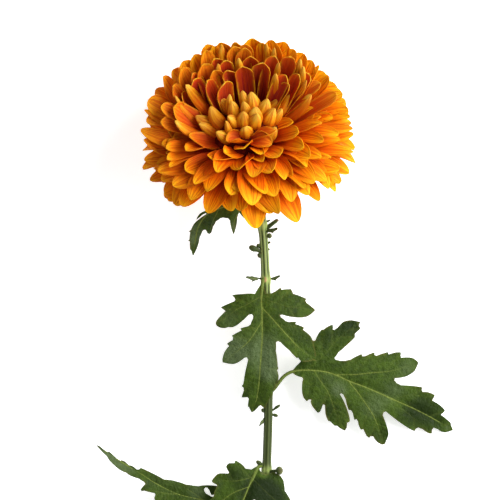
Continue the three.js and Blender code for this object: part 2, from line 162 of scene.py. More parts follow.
def distance_to_line(points: Array, line: Array) -> Array:
    """How far each point is from the nearest stretch of a line, in plan.

    Args:
        points: The points, (n, 2).
        line: The line's corners, (m, 2).

    Returns:
        n distances.
    """
    start, along = line[:-1], np.diff(line, axis=0)
    offset = points[:, None] - start[None]
    share = np.clip((offset * along).sum(-1) / np.maximum((along * along).sum(-1), 1e-9), 0, 1)
    return np.linalg.norm(offset - share[..., None] * along, axis=-1).min(axis=1)


def is_inside(points: Array, outline: Array) -> Array:
    """Whether each point is inside a closed outline.

    It is where a ray to its right crosses the outline an odd number of times.

    Args:
        points: The points, (n, 2).
        outline: The outline's corners, (m, 2).

    Returns:
        n true or false values.
    """
    start, end = outline, np.roll(outline, -1, axis=0)
    x, y = points[:, :1], points[:, 1:]
    spans = (start[:, 1] > y) != (end[:, 1] > y)
    rise = np.where(np.abs(end[:, 1] - start[:, 1]) < 1e-9, 1e-9, end[:, 1] - start[:, 1])
    crossing = start[:, 0] + (y - start[:, 1]) / rise * (end[:, 0] - start[:, 0])
    return (spans & (x < crossing)).sum(axis=1) % 2 == 1


# ---------------------------------------------------------------- shapes


@dataclass
class Shape:
    """Points in millimetres, the faces between them, and named values at each point."""

    points: Array
    quads: Array = field(default_factory=lambda: np.zeros((0, 4), int))
    triangles: Array = field(default_factory=lambda: np.zeros((0, 3), int))
    values: dict[str, Array] = field(default_factory=dict)

    @classmethod
    def joined(cls, shapes: list["Shape"]) -> "Shape":
        """One shape of several. A value that one of them lacks is 0 there.

        Args:
            shapes: The shapes to put together.

        Returns:
            The shape that holds them all.
        """
        starts = np.cumsum([0] + [len(s.points) for s in shapes[:-1]])
        names = sorted({name for s in shapes for name in s.values})
        values = {name: np.concatenate([s.values.get(name, np.zeros(len(s.points))) for s in shapes])
                  for name in names}
        return cls(
            np.concatenate([s.points for s in shapes]),
            np.concatenate([s.quads + start for s, start in zip(shapes, starts)]),
            np.concatenate([s.triangles + start for s, start in zip(shapes, starts)]),
            values,
        )

    def edges(self) -> Array:
        """Every face's edges as (from, to), in the face's own direction."""
        kinds = ((self.quads, 4), (self.triangles, 3))
        return np.concatenate([
            np.stack([f[:, k], f[:, (k + 1) % n]], -1) for f, n in kinds for k in range(n)])

    def rim(self) -> Array:
        """The open edges of a sheet, as (from, to): those whose opposite no other face has."""
        edges = self.edges()
        key = edges[:, 0] * len(self.points) + edges[:, 1]
        opposite = edges[:, 1] * len(self.points) + edges[:, 0]
        return edges[~np.isin(opposite, key)]

    def normals(self) -> Array:
        """At each point, the direction that its faces look in on average, larger ones counting for more."""
        total = np.zeros_like(self.points)
        for faces in (self.quads, self.triangles):
            if len(faces):
                a, b, c, d = (self.points[faces[:, k]] for k in (0, 1, 2, -1))
                facing = np.cross(c - a, d - b) if faces.shape[1] == 4 else np.cross(b - a, c - a)
                for k in range(faces.shape[1]):
                    np.add.at(total, faces[:, k], facing)
        return total / np.maximum(np.linalg.norm(total, axis=1, keepdims=True), 1e-9)

    def thickened(self, thickness: Array | float) -> "Shape":
        """A closed body round a sheet.

        A copy of every point goes half the thickness out along its normal and another half of it
        in, and walls join the two along the sheet's rim. The value "back" is 0 on the face and 1 on
        the underside.

        Args:
            thickness: Millimetres, one number or one for each point.

        Returns:
            The closed body.
        """
        count = len(self.points)
        push = self.normals() * np.broadcast_to(np.asarray(thickness) / 2, (count,))[:, None]
        rim = self.rim()
        walls = np.stack([rim[:, 1], rim[:, 0], rim[:, 0] + count, rim[:, 1] + count], -1)
        values = {name: np.concatenate([value, value]) for name, value in self.values.items()}
        values["back"] = np.repeat([0.0, 1.0], count)
        return Shape(
            np.concatenate([self.points + push, self.points - push]),
            np.concatenate([self.quads, self.quads[:, ::-1] + count, walls]),
            np.concatenate([self.triangles, self.triangles[:, ::-1] + count]),
            values,
        )


def grid_quads(rows: int, columns: int, around: bool = False) -> Array:
    """The faces of a grid of points.

    Args:
        rows: How many rows of points.
        columns: How many points in a row.
        around: Whether the last column joins the first.

    Returns:
        Corner numbers, (n, 4), with point (row, column) numbered row * columns + column.
    """
    steps = columns if around else columns - 1
    row, column = np.meshgrid(np.arange(rows - 1), np.arange(steps), indexing="ij")
    after = (column + 1) % columns
    corners = [row * columns + column, row * columns + after,
               (row + 1) * columns + after, (row + 1) * columns + column]
    return np.stack([c.ravel() for c in corners], -1)


def sheets_of(points: Array, values: Values) -> Shape:
    """Grids of points as sheets, all in one shape.

    Args:
        points: The grids, (sheets, rows, columns, 3).
        values: Named values at each point, in any form that spreads over the grids.

    Returns:
        The sheets.
    """
    whole = count, rows, columns = points.shape[:3]
    quads = grid_quads(rows, columns)[None] + (np.arange(count) * rows * columns)[:, None, None]
    return Shape(points.reshape(-1, 3), quads.reshape(-1, 4)[:, ::-1], values={
        name: np.broadcast_to(value, whole).ravel() for name, value in values.items()})


def ring_angles(sides: int) -> Array:
    """The angles of the points of a ring."""
    return np.arange(sides) * 2 * math.pi / sides


def capped(rings: Array, ends: Array, values: Values) -> Shape:
    """Rings of points joined into a closed body, with a point at each end.

    Args:
        rings: The rings' points, (rows, sides, 3).
        ends: The end points, (2, 3).
        values: Named values at each row and side, in any form that spreads over them.

    Returns:
        The closed body.
    """
    rows, sides = rings.shape[:2]
    first, last = rows * sides, (rows - 1) * sides
    here, after = np.arange(sides), (np.arange(sides) + 1) % sides
    fans = [np.stack([np.full(sides, first), after, here], -1),
            np.stack([np.full(sides, first + 1), last + here, last + after], -1)]
    spread = {name: np.broadcast_to(value, (rows, sides)) for name, value in values.items()}
    points = np.concatenate([rings.reshape(-1, 3), ends])
    return Shape(points, grid_quads(rows, sides, around=True), np.concatenate(fans), {
        name: np.concatenate([value.ravel(), value[0, :1], value[-1, :1]])
        for name, value in spread.items()})


def turned(height: Array, radius: Array, sides: int) -> Shape:
    """A closed body that is round about the third axis.

    Args:
        height: The height of each ring, from the lowest up, (rows,).
        radius: The radius of each ring, (rows,).
        sides: How many points a ring has.

    Returns:
        The body.
    """
    line = np.stack([0 * height, 0 * height, height], -1)
    angle = ring_angles(sides)
    ring = np.stack([np.cos(angle), np.sin(angle), 0 * angle], -1)
    return capped(line[:, None] + ring[None] * radius[:, None, None], line[[0, -1]], {})


def sweep(line: Array, radius: Array, values: Values) -> Shape:
    """A closed tube: a round profile carried along a line, with a point at each end.

    At a place on the line and an angle, a point is the place plus radius times cos(angle) to the
    side and sin(angle) towards the line's upper side.

    Args:
        line: The middle line, (rows, 3).
        radius: The radius at each row and angle, (rows, sides).
        values: Named values at each row and angle, in any form that spreads over them.

    Returns:
        The tube.
    """
    tangent = unit(np.gradient(line, axis=0))
    side = unit(np.cross([0.0, 0.0, 1.0], tangent))[:, None]
    top = np.cross(tangent, side[:, 0])[:, None]
    angle = ring_angles(radius.shape[1])[None, :, None]
    ring = side * np.cos(angle) + top * np.sin(angle)
    return capped(line[:, None] + ring * radius[..., None], line[[0, -1]], values)


# ---------------------------------------------------------------- where the flower lies


@dataclass(frozen=True)
class Plan:
    """Where the flower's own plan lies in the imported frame, in millimetres."""

    shift: tuple[float, float]

    @classmethod
    def of(cls, leftmost: float, lowest: float) -> "Plan":
        """The plan, from two places that the frame shows exactly.

        Args:
            leftmost: X of the leftmost point of the CAD's leaf_centre, in the plan's millimetres.
            lowest: Y of the lowest point of the CAD's leaf_right, in the plan's millimetres.

        Returns:
            The plan.
        """
        return cls((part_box("leaf_centre")[0].x / MM - leftmost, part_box("leaf_right")[0].y / MM - lowest))

    def to_frame(self, points: Array) -> Array:
        """The plan's millimetres as the frame's metres."""
        return (points + np.array([*self.shift, 0.0])) * MM

    def piece(self, name: str, shape: Shape, finish: Material, slot: Slot,
              nodes: tuple[str, ...] = ()) -> None:
        """Puts a shape into the scene as one piece of the flower, which rides on its one body.

        Args:
            name: The piece's name.
            shape: Its shape, in the plan's millimetres.
            finish: Its material.
            slot: The record's material slot that it stands for. It is not used.
            nodes: The CAD nodes that it stands for.
        """
        mesh = bpy.data.meshes.new(name)
        mesh.vertices.add(len(shape.points))
        mesh.vertices.foreach_set("co", self.to_frame(shape.points).astype(np.float32).ravel())
        sizes = np.repeat([4, 3], [len(shape.quads), len(shape.triangles)])
        mesh.loops.add(int(sizes.sum()))
        corners = np.concatenate([shape.quads.ravel(), shape.triangles.ravel()])
        mesh.loops.foreach_set("vertex_index", corners.astype(np.int32))
        mesh.polygons.add(len(sizes))
        mesh.polygons.foreach_set("loop_start", (np.cumsum(sizes) - sizes).astype(np.int32))
        mesh.polygons.foreach_set("loop_total", sizes.astype(np.int32))
        mesh.polygons.foreach_set("use_smooth", np.ones(len(sizes), bool))
        mesh.update(calc_edges=True)
        for value_name, value in shape.values.items():
            attribute = mesh.attributes.new(value_name, "FLOAT", "POINT")
            attribute.data.foreach_set("value", value.astype(np.float32))
        mesh.set_sharp_from_angle(angle=SHARP_ANGLE)
        mesh.materials.append(finish)
        piece = bpy.data.objects.new(name, mesh)
        bpy.context.scene.collection.objects.link(piece)
        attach(piece, "root")
        if nodes:
            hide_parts(*nodes)
        log.info("%s: %d faces", name, len(sizes))


# ---------------------------------------------------------------- materials


class Shader:
    """The nodes of a material or of a group, with a short call for each kind that the flower uses."""

    def __init__(self, tree: NodeTree) -> None:
        """Keeps the tree that nodes go into."""
        self.tree = tree

    @classmethod
    def material(cls, name: str) -> tuple["Shader", Material, Node]:
        """A new material.

        Args:
            name: Its name.

        Returns:
            The shader of its nodes, the material, and its Principled BSDF.
        """
        material = bpy.data.materials.new(name)
        material.use_nodes = True
        return cls(material.node_tree), material, material.node_tree.nodes["Principled BSDF"]

    def feed(self, socket: Socket, term: Term | Colour) -> None:
        """Links a node's output to a socket, or sets the socket to a number or colour."""
        if isinstance(term, Socket):
            self.tree.links.new(term, socket)
        elif isinstance(term, tuple):
            socket.default_value = (*term, 1.0) if len(socket.default_value) == 4 else term
        else:
            socket.default_value = term

    def fill(self, node: Node, terms: Terms) -> None:
        """Feeds several of a node's sockets, each by its name or number."""
        for name, term in terms.items():
            self.feed(node.inputs[name], term)

    def node(self, kind: str, terms: Terms, **settings: object) -> Node:
        """A new node.

        Args:
            kind: Blender's name for it, without ShaderNode in front.
            terms: What its sockets take.
            settings: Its other settings.

        Returns:
            The node.
        """
        node = self.tree.nodes.new("ShaderNode" + kind)
        for name, value in settings.items():
            setattr(node, name, value)
        self.fill(node, terms)
        return node

    def values(self, *names: str) -> list[Socket]:
        """The named values that the mesh holds at each point."""
        return [self.node("Attribute", {}, attribute_name=name).outputs["Fac"] for name in names]

    def place(self) -> Socket:
        """The place on the piece, in metres."""
        return self.node("TexCoord", {}).outputs["Object"]

    def math(self, operation: str, *terms: Term) -> Socket:
        """A sum on one to three terms, by Blender's name for the operation."""
        return self.node("Math", dict(enumerate(terms)), operation=operation).outputs[0]

    def times(self, first: Term, second: Term) -> Socket:
        """One term times the other."""
        return self.math("MULTIPLY", first, second)

    def line(self, term: Term, slope: Term, start: Term) -> Socket:
        """A straight line: the term times the slope, plus the start."""
        return self.math("MULTIPLY_ADD", term, slope, start)

    def spread(self, term: Term, low: float, high: float) -> Socket:
        """A value that goes smoothly from 0 where the term is low to 1 where it is high."""
        terms = {"Value": term, "From Min": low, "From Max": high}
        return self.node("MapRange", terms, interpolation_type="SMOOTHSTEP").outputs["Result"]

    def ramp(self, term: Term, stops: Stops) -> Socket:
        """A colour that follows a value through several stops.

        Args:
            term: The value.
            stops: Pairs of a place from 0 to 1 and the colour there.

        Returns:
            The colour.
        """
        node = self.node("ValToRGB", {0: term})
        elements = node.color_ramp.elements
        while len(elements) < len(stops):
            elements.new(0.5)
        for element, (at, colour) in zip(elements, stops):
            element.position = at
            element.color = (*colour, 1.0)
        return node.outputs["Color"]

    def mix(self, share: Term, first: Term | Colour, second: Term | Colour) -> Socket:
        """The first colour where the share is 0, the second where it is 1, and between them a mixture."""
        terms = {0: share, 6: first, 7: second}
        return self.node("Mix", terms, data_type="RGBA", clamp_factor=True).outputs[2]

    def noise(self, vector: Term, scale: Term, detail: float) -> Socket:
        """Cloudy noise about 0.5, as fine as its scale, with as many finer layers as its detail."""
        return self.node("TexNoise", {"Vector": vector, "Scale": scale, "Detail": detail}).outputs["Fac"]

    def vector(self, *terms: Term) -> Socket:
        """A vector of three terms."""
        return self.node("CombineXYZ", dict(enumerate(terms))).outputs[0]

    def group(self, tree: NodeTree, **terms: Term) -> Socket:
        """The mask of a shared effect, which is placed here with its own values."""
        return self.node("Group", terms, node_tree=tree).outputs["Mask"]

    def relief(self, shader: Node, height: Term, depth: float, strength: float) -> None:
        """Raises a shader's surface by a height.

        Args:
            shader: The Principled BSDF.
            height: The height, about 0 to 1.
            depth: How far 1 rises, in metres.
            strength: How much of it shows.
        """
        bump = self.node("Bump", {"Strength": strength, "Distance": depth, "Height": height})
        self.feed(shader.inputs["Normal"], bump.outputs["Normal"])


class Effects:
    """The effects that several finishes share, each one node group that is built once."""

    def __init__(self) -> None:
        """Builds both groups."""
        self.streaks = self._streaks()
        self.mottle = self._mottle()

    @staticmethod
    def _tree(name: str, inputs: dict[str, float | None]) -> tuple[Shader, Node, Node]:
        """A group with its input sockets and one output, Mask.

        Args:
            name: The group's name.
            inputs: Its inputs and their first values, with None for a vector.

        Returns:
            The shader of its nodes, its input node and its output node.
        """
        tree = bpy.data.node_groups.new(name, "ShaderNodeTree")
        for socket_name, value in inputs.items():
            kind = "NodeSocketVector" if value is None else "NodeSocketFloat"
            socket = tree.interface.new_socket(socket_name, in_out="INPUT", socket_type=kind)
            if value is not None:
                socket.default_value = value
        tree.interface.new_socket("Mask", in_out="OUTPUT", socket_type="NodeSocketFloat")
        return Shader(tree), tree.nodes.new("NodeGroupInput"), tree.nodes.new("NodeGroupOutput")

    def _streaks(self) -> NodeTree:
        """Fine, uneven lines along a floret, bract or stem: noise drawn out along its length.

        Returns:
            The group: Across, Along and Seed place it, Lines says how many there are, and Mask is 1
            on a line.
        """
        inputs = {"Across": 0.0, "Along": 0.0, "Seed": 0.0, "Lines": 7.0}
        shader, given, made = self._tree("fine_streaks", inputs)
        across = shader.times(given.outputs["Across"], given.outputs["Lines"])
        along = shader.times(given.outputs["Along"], 1.6)
        seed = shader.times(given.outputs["Seed"], 37.0)
        noise = shader.noise(shader.vector(across, along, seed), 1.0, 2.0)
        shader.feed(made.inputs["Mask"], shader.spread(noise, 0.38, 0.66))
        return shader.tree

    def _mottle(self) -> NodeTree:
        """Soft uneven patches: a coarse noise with a little of a finer one.

        Returns:
            The group: Place is where it is read, Patch the size of a patch in metres, and Mask goes
            from 0 to 1.
        """
        shader, given, made = self._tree("soft_mottle", {"Place": None, "Patch": 0.01})
        place, scale = given.outputs["Place"], shader.math("DIVIDE", 1.0, given.outputs["Patch"])
        coarse = shader.noise(place, scale, 2.0)
        fine = shader.noise(place, shader.times(scale, 5.0), 2.0)
        both = shader.line(fine, 0.35, shader.times(coarse, 0.65))
        shader.feed(made.inputs["Mask"], shader.spread(both, 0.36, 0.64))
        return shader.tree


@dataclass(frozen=True)
class FloretFinish:
    """The silky skin of a floret: deep red at its base on the face, golden at the tip and on the back. The
    darkening towards the base is partly the floret's own red and partly painted shade.
    """

    # Along each ramp the colour falls to dark red towards the base, 0: partly the floret's own red base and
    # partly painted shade where the bases lie under other florets.
    young: Stops = (
        (0.0, (0.08, 0.001, 0.004)), (0.55, (0.17, 0.002, 0.007)), (0.8, (0.32, 0.009, 0.010)),
        (0.93, (0.50, 0.036, 0.009)), (1.0, (0.68, 0.13, 0.006)))
    mature: Stops = (
        (0.0, (0.28, 0.004, 0.0003)), (0.4, (0.50, 0.028, 0.0003)), (0.66, (0.76, 0.125, 0.0003)),
        (0.84, (0.90, 0.265, 0.0006)), (1.0, (0.97, 0.50, 0.006)))
    # The back's ramps colour the heart's buds: their darker, browner lower stops are partly painted shade.
    young_back: Stops = (
        (0.0, (0.16, 0.003, 0.0005)), (0.5, (0.31, 0.024, 0.0005)), (0.74, (0.54, 0.13, 0.0015)),
        (0.9, (0.71, 0.30, 0.009)), (1.0, (0.84, 0.48, 0.055)))
    mature_back: Stops = (
        (0.0, (0.40, 0.015, 0.0003)), (0.4, (0.66, 0.10, 0.0005)), (0.75, (0.82, 0.22, 0.001)),
        (1.0, (0.90, 0.37, 0.004)))
    rim: Colour = (0.98, 0.55, 0.012)
    line: Colour = (0.42, 0.035, 0.0003)
    lines: float = 8.5
    line_depth: float = 0.00025
    roughness: float = 0.58
    shine: float = 0.08
    translucence: float = 0.15
    light_path: Colour = (1.0, 0.35, 0.08)
    light_depth: float = 0.002

    def material(self, effects: Effects) -> Material:
        """Builds the finish.

        The face goes through the young or the mature colours along its length, by the floret's age, and a
        young one has a golden rim. The age is lowered on the bloom's left side as painted shade, and the
        dark lower stops of the ramps are partly painted shade. The back has its own colours, and fine
        streaks run along both.

        Args:
            effects: The shared effects.

        Returns:
            The material.
        """
        shader, material, principled = Shader.material("floret_silk")
        along, across, tone = shader.values("along", "across", "tone")
        age, back, shade = shader.values("age", "back", "shade")
        face = shader.mix(age, shader.ramp(shade, self.young), shader.ramp(shade, self.mature))
        margin = shader.math("POWER", shader.math("ABSOLUTE", across), 8.0)
        edge = shader.math("MAXIMUM", margin, shader.spread(along, 0.97, 0.995))
        uneven = shader.spread(shader.noise(shader.place(), 260.0, 1.0), 0.35, 0.6)
        edge = shader.times(edge, shader.line(uneven, 0.6, 0.4))
        face = shader.mix(shader.times(edge, shader.spread(age, 0.85, 0.0)), face, self.rim)
        behind = shader.mix(age, shader.ramp(shade, self.young_back), shader.ramp(shade, self.mature_back))
        streaks = shader.group(effects.streaks, Across=across, Along=along, Seed=tone, Lines=self.lines)
        drawn = shader.times(streaks, shader.line(shade, -0.25, 0.85))
        shader.fill(principled, {
            "Base Color": shader.mix(drawn, shader.mix(back, face, behind), self.line),
            "Roughness": self.roughness,
            "Specular IOR Level": self.shine,
            "Subsurface Weight": self.translucence,
            "Subsurface Radius": self.light_path,
            "Subsurface Scale": self.light_depth})
        shader.relief(principled, streaks, self.line_depth, 0.5)
        return material


@dataclass(frozen=True)
class LeafFinish:
    """A dark green blade with paler veins, soft spots of painted sheen and painted shade, and a paler
    underside.
    """

    dark: Colour = (0.024, 0.047, 0.003)
    light: Colour = (0.055, 0.098, 0.008)
    # Deep is painted shade where the pale value is below 0, and grey is painted sheen where it is above.
    deep: Colour = (0.007, 0.017, 0.0005)
    grey: Colour = (0.090, 0.130, 0.050)
    vein: Colour = (0.20, 0.25, 0.045)
    under: Colour = (0.075, 0.12, 0.035)
    tip: Colour = (0.16, 0.13, 0.03)
    broad_patch: float = 0.009
    fine_patch: float = 0.0022
    cells: float = 900.0
    cell_depth: float = 0.0004
    shine: float = 0.12

    def material(self, effects: Effects) -> Material:
        """Builds the finish.

        Patches of two greens turn grey, a painted sheen, where the mesh's pale value is above 0 and darker,
        a painted shade, where it is below. Over them come the underside's green, brown in places along the
        rim, and the veins. A fine net of cells is raised over the blade.

        Args:
            effects: The shared effects.

        Returns:
            The material.
        """
        shader, material, principled = Shader.material("leaf_green")
        vein, rim, back, pale = shader.values("vein", "rim", "back", "pale")
        broad = shader.group(effects.mottle, Place=shader.place(), Patch=self.broad_patch)
        fine = shader.group(effects.mottle, Place=shader.place(), Patch=self.fine_patch)
        patches = shader.math("ADD", shader.times(broad, 0.55), shader.times(fine, 0.45))
        blade = shader.mix(patches, self.dark, self.light)
        # Painted sheen where the pale value is above 0 and painted shade where it is below.
        painted_sheen = shader.times(shader.spread(pale, 0.0, 1.15), shader.line(fine, 0.5, 0.72))
        layers = (
            (painted_sheen, self.grey), (shader.spread(pale, 0.0, -1.15), self.deep),
            (shader.times(back, 0.8), self.under), (shader.times(rim, 0.5), self.tip), (vein, self.vein))
        for share, colour in layers:
            blade = shader.mix(share, blade, colour)
        shader.fill(principled, {
            "Base Color": blade,
            "Roughness": shader.line(patches, 0.14, 0.42),
            "Specular IOR Level": self.shine})
        net = {"Vector": shader.place(), "Scale": self.cells}
        cell = shader.node("TexVoronoi", net, feature="SMOOTH_F1").outputs["Distance"]
        height = shader.math("SUBTRACT", shader.times(fine, 0.8), cell)
        shader.relief(principled, height, self.cell_depth, 0.8)
        return material


@dataclass(frozen=True)
class StemFinish:
    """A green stem with pale ridges, dark grooves, paler nodes and a faint sheen."""

    groove: Colour = (0.026, 0.044, 0.006)
    ridge: Colour = (0.245, 0.315, 0.100)
    lower: Colour = (0.024, 0.036, 0.004)
    node: Colour = (0.34, 0.44, 0.11)
    scar: Colour = (0.85, 0.42, 0.26)
    dry: Colour = (0.15, 0.07, 0.02)
    lines: float = 9.0
    patch: float = 0.004
    depth: float = 0.00012
    shine: float = 0.2
    sheen: float = 0.06

    def material(self, effects: Effects) -> Material:
        """Builds the finish.

        The colour goes from groove to ridge round the stem and darker towards the cut end. It turns
        paler at the nodes, pink at the scar and brown where something was pinched off.

        Args:
            effects: The shared effects.

        Returns:
            The material.
        """
        shader, material, principled = Shader.material("stem_green")
        ridge, along, around = shader.values("ridge", "along", "around")
        node, scar, dry = shader.values("node", "scar", "dry")
        patches = shader.group(effects.mottle, Place=shader.place(), Patch=self.patch)
        streaks = shader.group(effects.streaks, Across=around, Along=along, Seed=0.0, Lines=self.lines)
        uneven = shader.math("ADD", shader.times(streaks, 0.5), shader.times(patches, 0.35))
        stripe = shader.spread(shader.math("ADD", ridge, uneven), -0.7, 1.0)
        skin = shader.mix(stripe, self.groove, self.ridge)
        older = shader.times(shader.spread(along, 0.68, 0.45), 0.8)
        layers = (
            (older, self.lower), (shader.times(node, 0.8), self.node), (scar, self.scar),
            (shader.times(dry, 0.9), self.dry), (shader.times(patches, 0.15), self.groove))
        for share, colour in layers:
            skin = shader.mix(share, skin, colour)
        shader.fill(principled, {
            "Base Color": skin,
            "Roughness": shader.line(patches, 0.1, 0.5),
            "Specular IOR Level": self.shine,
            "Sheen Weight": self.sheen})
        shader.relief(principled, shader.math("ADD", streaks, patches), self.depth, 0.5)
        return material


@dataclass(frozen=True)
class BractFinish:
    """Green bracts with dry, papery margins."""

    middle: Colour = (0.028, 0.062, 0.008)
    light: Colour = (0.15, 0.22, 0.050)
    paper: Colour = (0.42, 0.27, 0.10)
    lines: float = 5.0
    line_depth: float = 0.0002
    patch: float = 0.003

    def material(self, effects: Effects) -> Material:
        """Builds the finish: streaked green in the middle, turning to brown paper at the rim.

        Args:
            effects: The shared effects.

        Returns:
            The material.
        """
        shader, material, principled = Shader.material("bract_green")
        along, across, tone = shader.values("along", "across", "tone")
        streaks = shader.group(effects.streaks, Across=across, Along=along, Seed=tone, Lines=self.lines)
        patches = shader.group(effects.mottle, Place=shader.place(), Patch=self.patch)
        skin = shader.mix(streaks, self.middle, self.light)
        margin = shader.math("MAXIMUM", shader.math("ABSOLUTE", across), along)
        paper = shader.times(shader.spread(margin, 0.7, 0.95), shader.line(patches, 0.4, 0.6))
        shader.fill(principled, {
            "Base Color": shader.mix(paper, skin, self.paper), "Roughness": shader.line(paper, 0.2, 0.55)})
        shader.relief(principled, streaks, self.line_depth, 0.6)
        return material


@dataclass(frozen=True)
class HeartwoodFinish:
    """The dark, packed bases of the florets, deep inside the bloom."""

    deep: Colour = (0.05, 0.002, 0.002)
    light: Colour = (0.13, 0.008, 0.002)
    patch: float = 0.0025
    depth: float = 0.0006
    shine: float = 0.06

    def material(self, effects: Effects) -> Material:
        """Builds the finish: dark red-brown patches with a rough surface.

        Args:
            effects: The shared effects.

        Returns:
            The material.
        """
        shader, material, principled = Shader.material("floret_bases")
        patches = shader.group(effects.mottle, Place=shader.place(), Patch=self.patch)
        shader.fill(principled, {
            "Base Color": shader.mix(patches, self.deep, self.light),
            "Roughness": shader.line(patches, 0.2, 0.7),
            "Specular IOR Level": self.shine})
        shader.relief(principled, patches, self.depth, 0.8)
        return material


# ---------------------------------------------------------------- the bloom


@dataclass(frozen=True)
class Cut:
    """How one form of floret is rolled, how its tip is cut, and where it is rooted in the heart.

    It closes round by the wrap, half of its arc in degrees, with a hollow that is depth times a true
    arc's. It starts to narrow at the taper, a share of its length, and a higher blunt rounds its tip
    more. In the heart its root is low of the axis and high along it, in millimetres. The base is its
    width at the root as a share of its greatest. The turn is how far it may be out of true, in
    degrees. Without an age of its own it has its place's.
    """

    wrap: float
    taper: float
    blunt: float
    depth: float
    low: float = 4.0
    high: float = 11.0
    base: float = 0.34
    turn: float = 12.0
    age: float | None = None


class Form(Enum):
    """The forms of floret, from the closed ones of the heart to the flat ones of the edge."""

    POD = Cut(180.0, 0.58, 1.7, 0.80, turn=30, age=0.05)
    BOAT = Cut(92.0, 0.52, 1.7, 0.70, age=0.9)
    CRADLE = Cut(112.0, 0.50, 1.7, 0.75, 14.0, 20.0, age=0.5)
    ROLLED = Cut(180.0, 0.55, 1.8, 0.55, age=0.05)
    WALL = Cut(46.0, 0.86, 2.2, 1.0, base=0.7, age=0.1)
    SHOULDER = Cut(38.0, 0.84, 2.2, 1.0, base=0.5, age=0.5)
    BLUNT = Cut(36.0, 0.84, 2.2, 1.0, turn=20)
    OVAL = Cut(34.0, 0.72, 1.75, 1.0, turn=24)
    POINTED = Cut(30.0, 0.62, 1.5, 1.0, turn=24)
    BROAD = Cut(30.0, 0.70, 1.6, 1.0, turn=3)


# Where a floret's tip is in plan, x and y, how high it is over the bloom's centre, and its width.
Spots = tuple[tuple[float, float, float, float], ...]

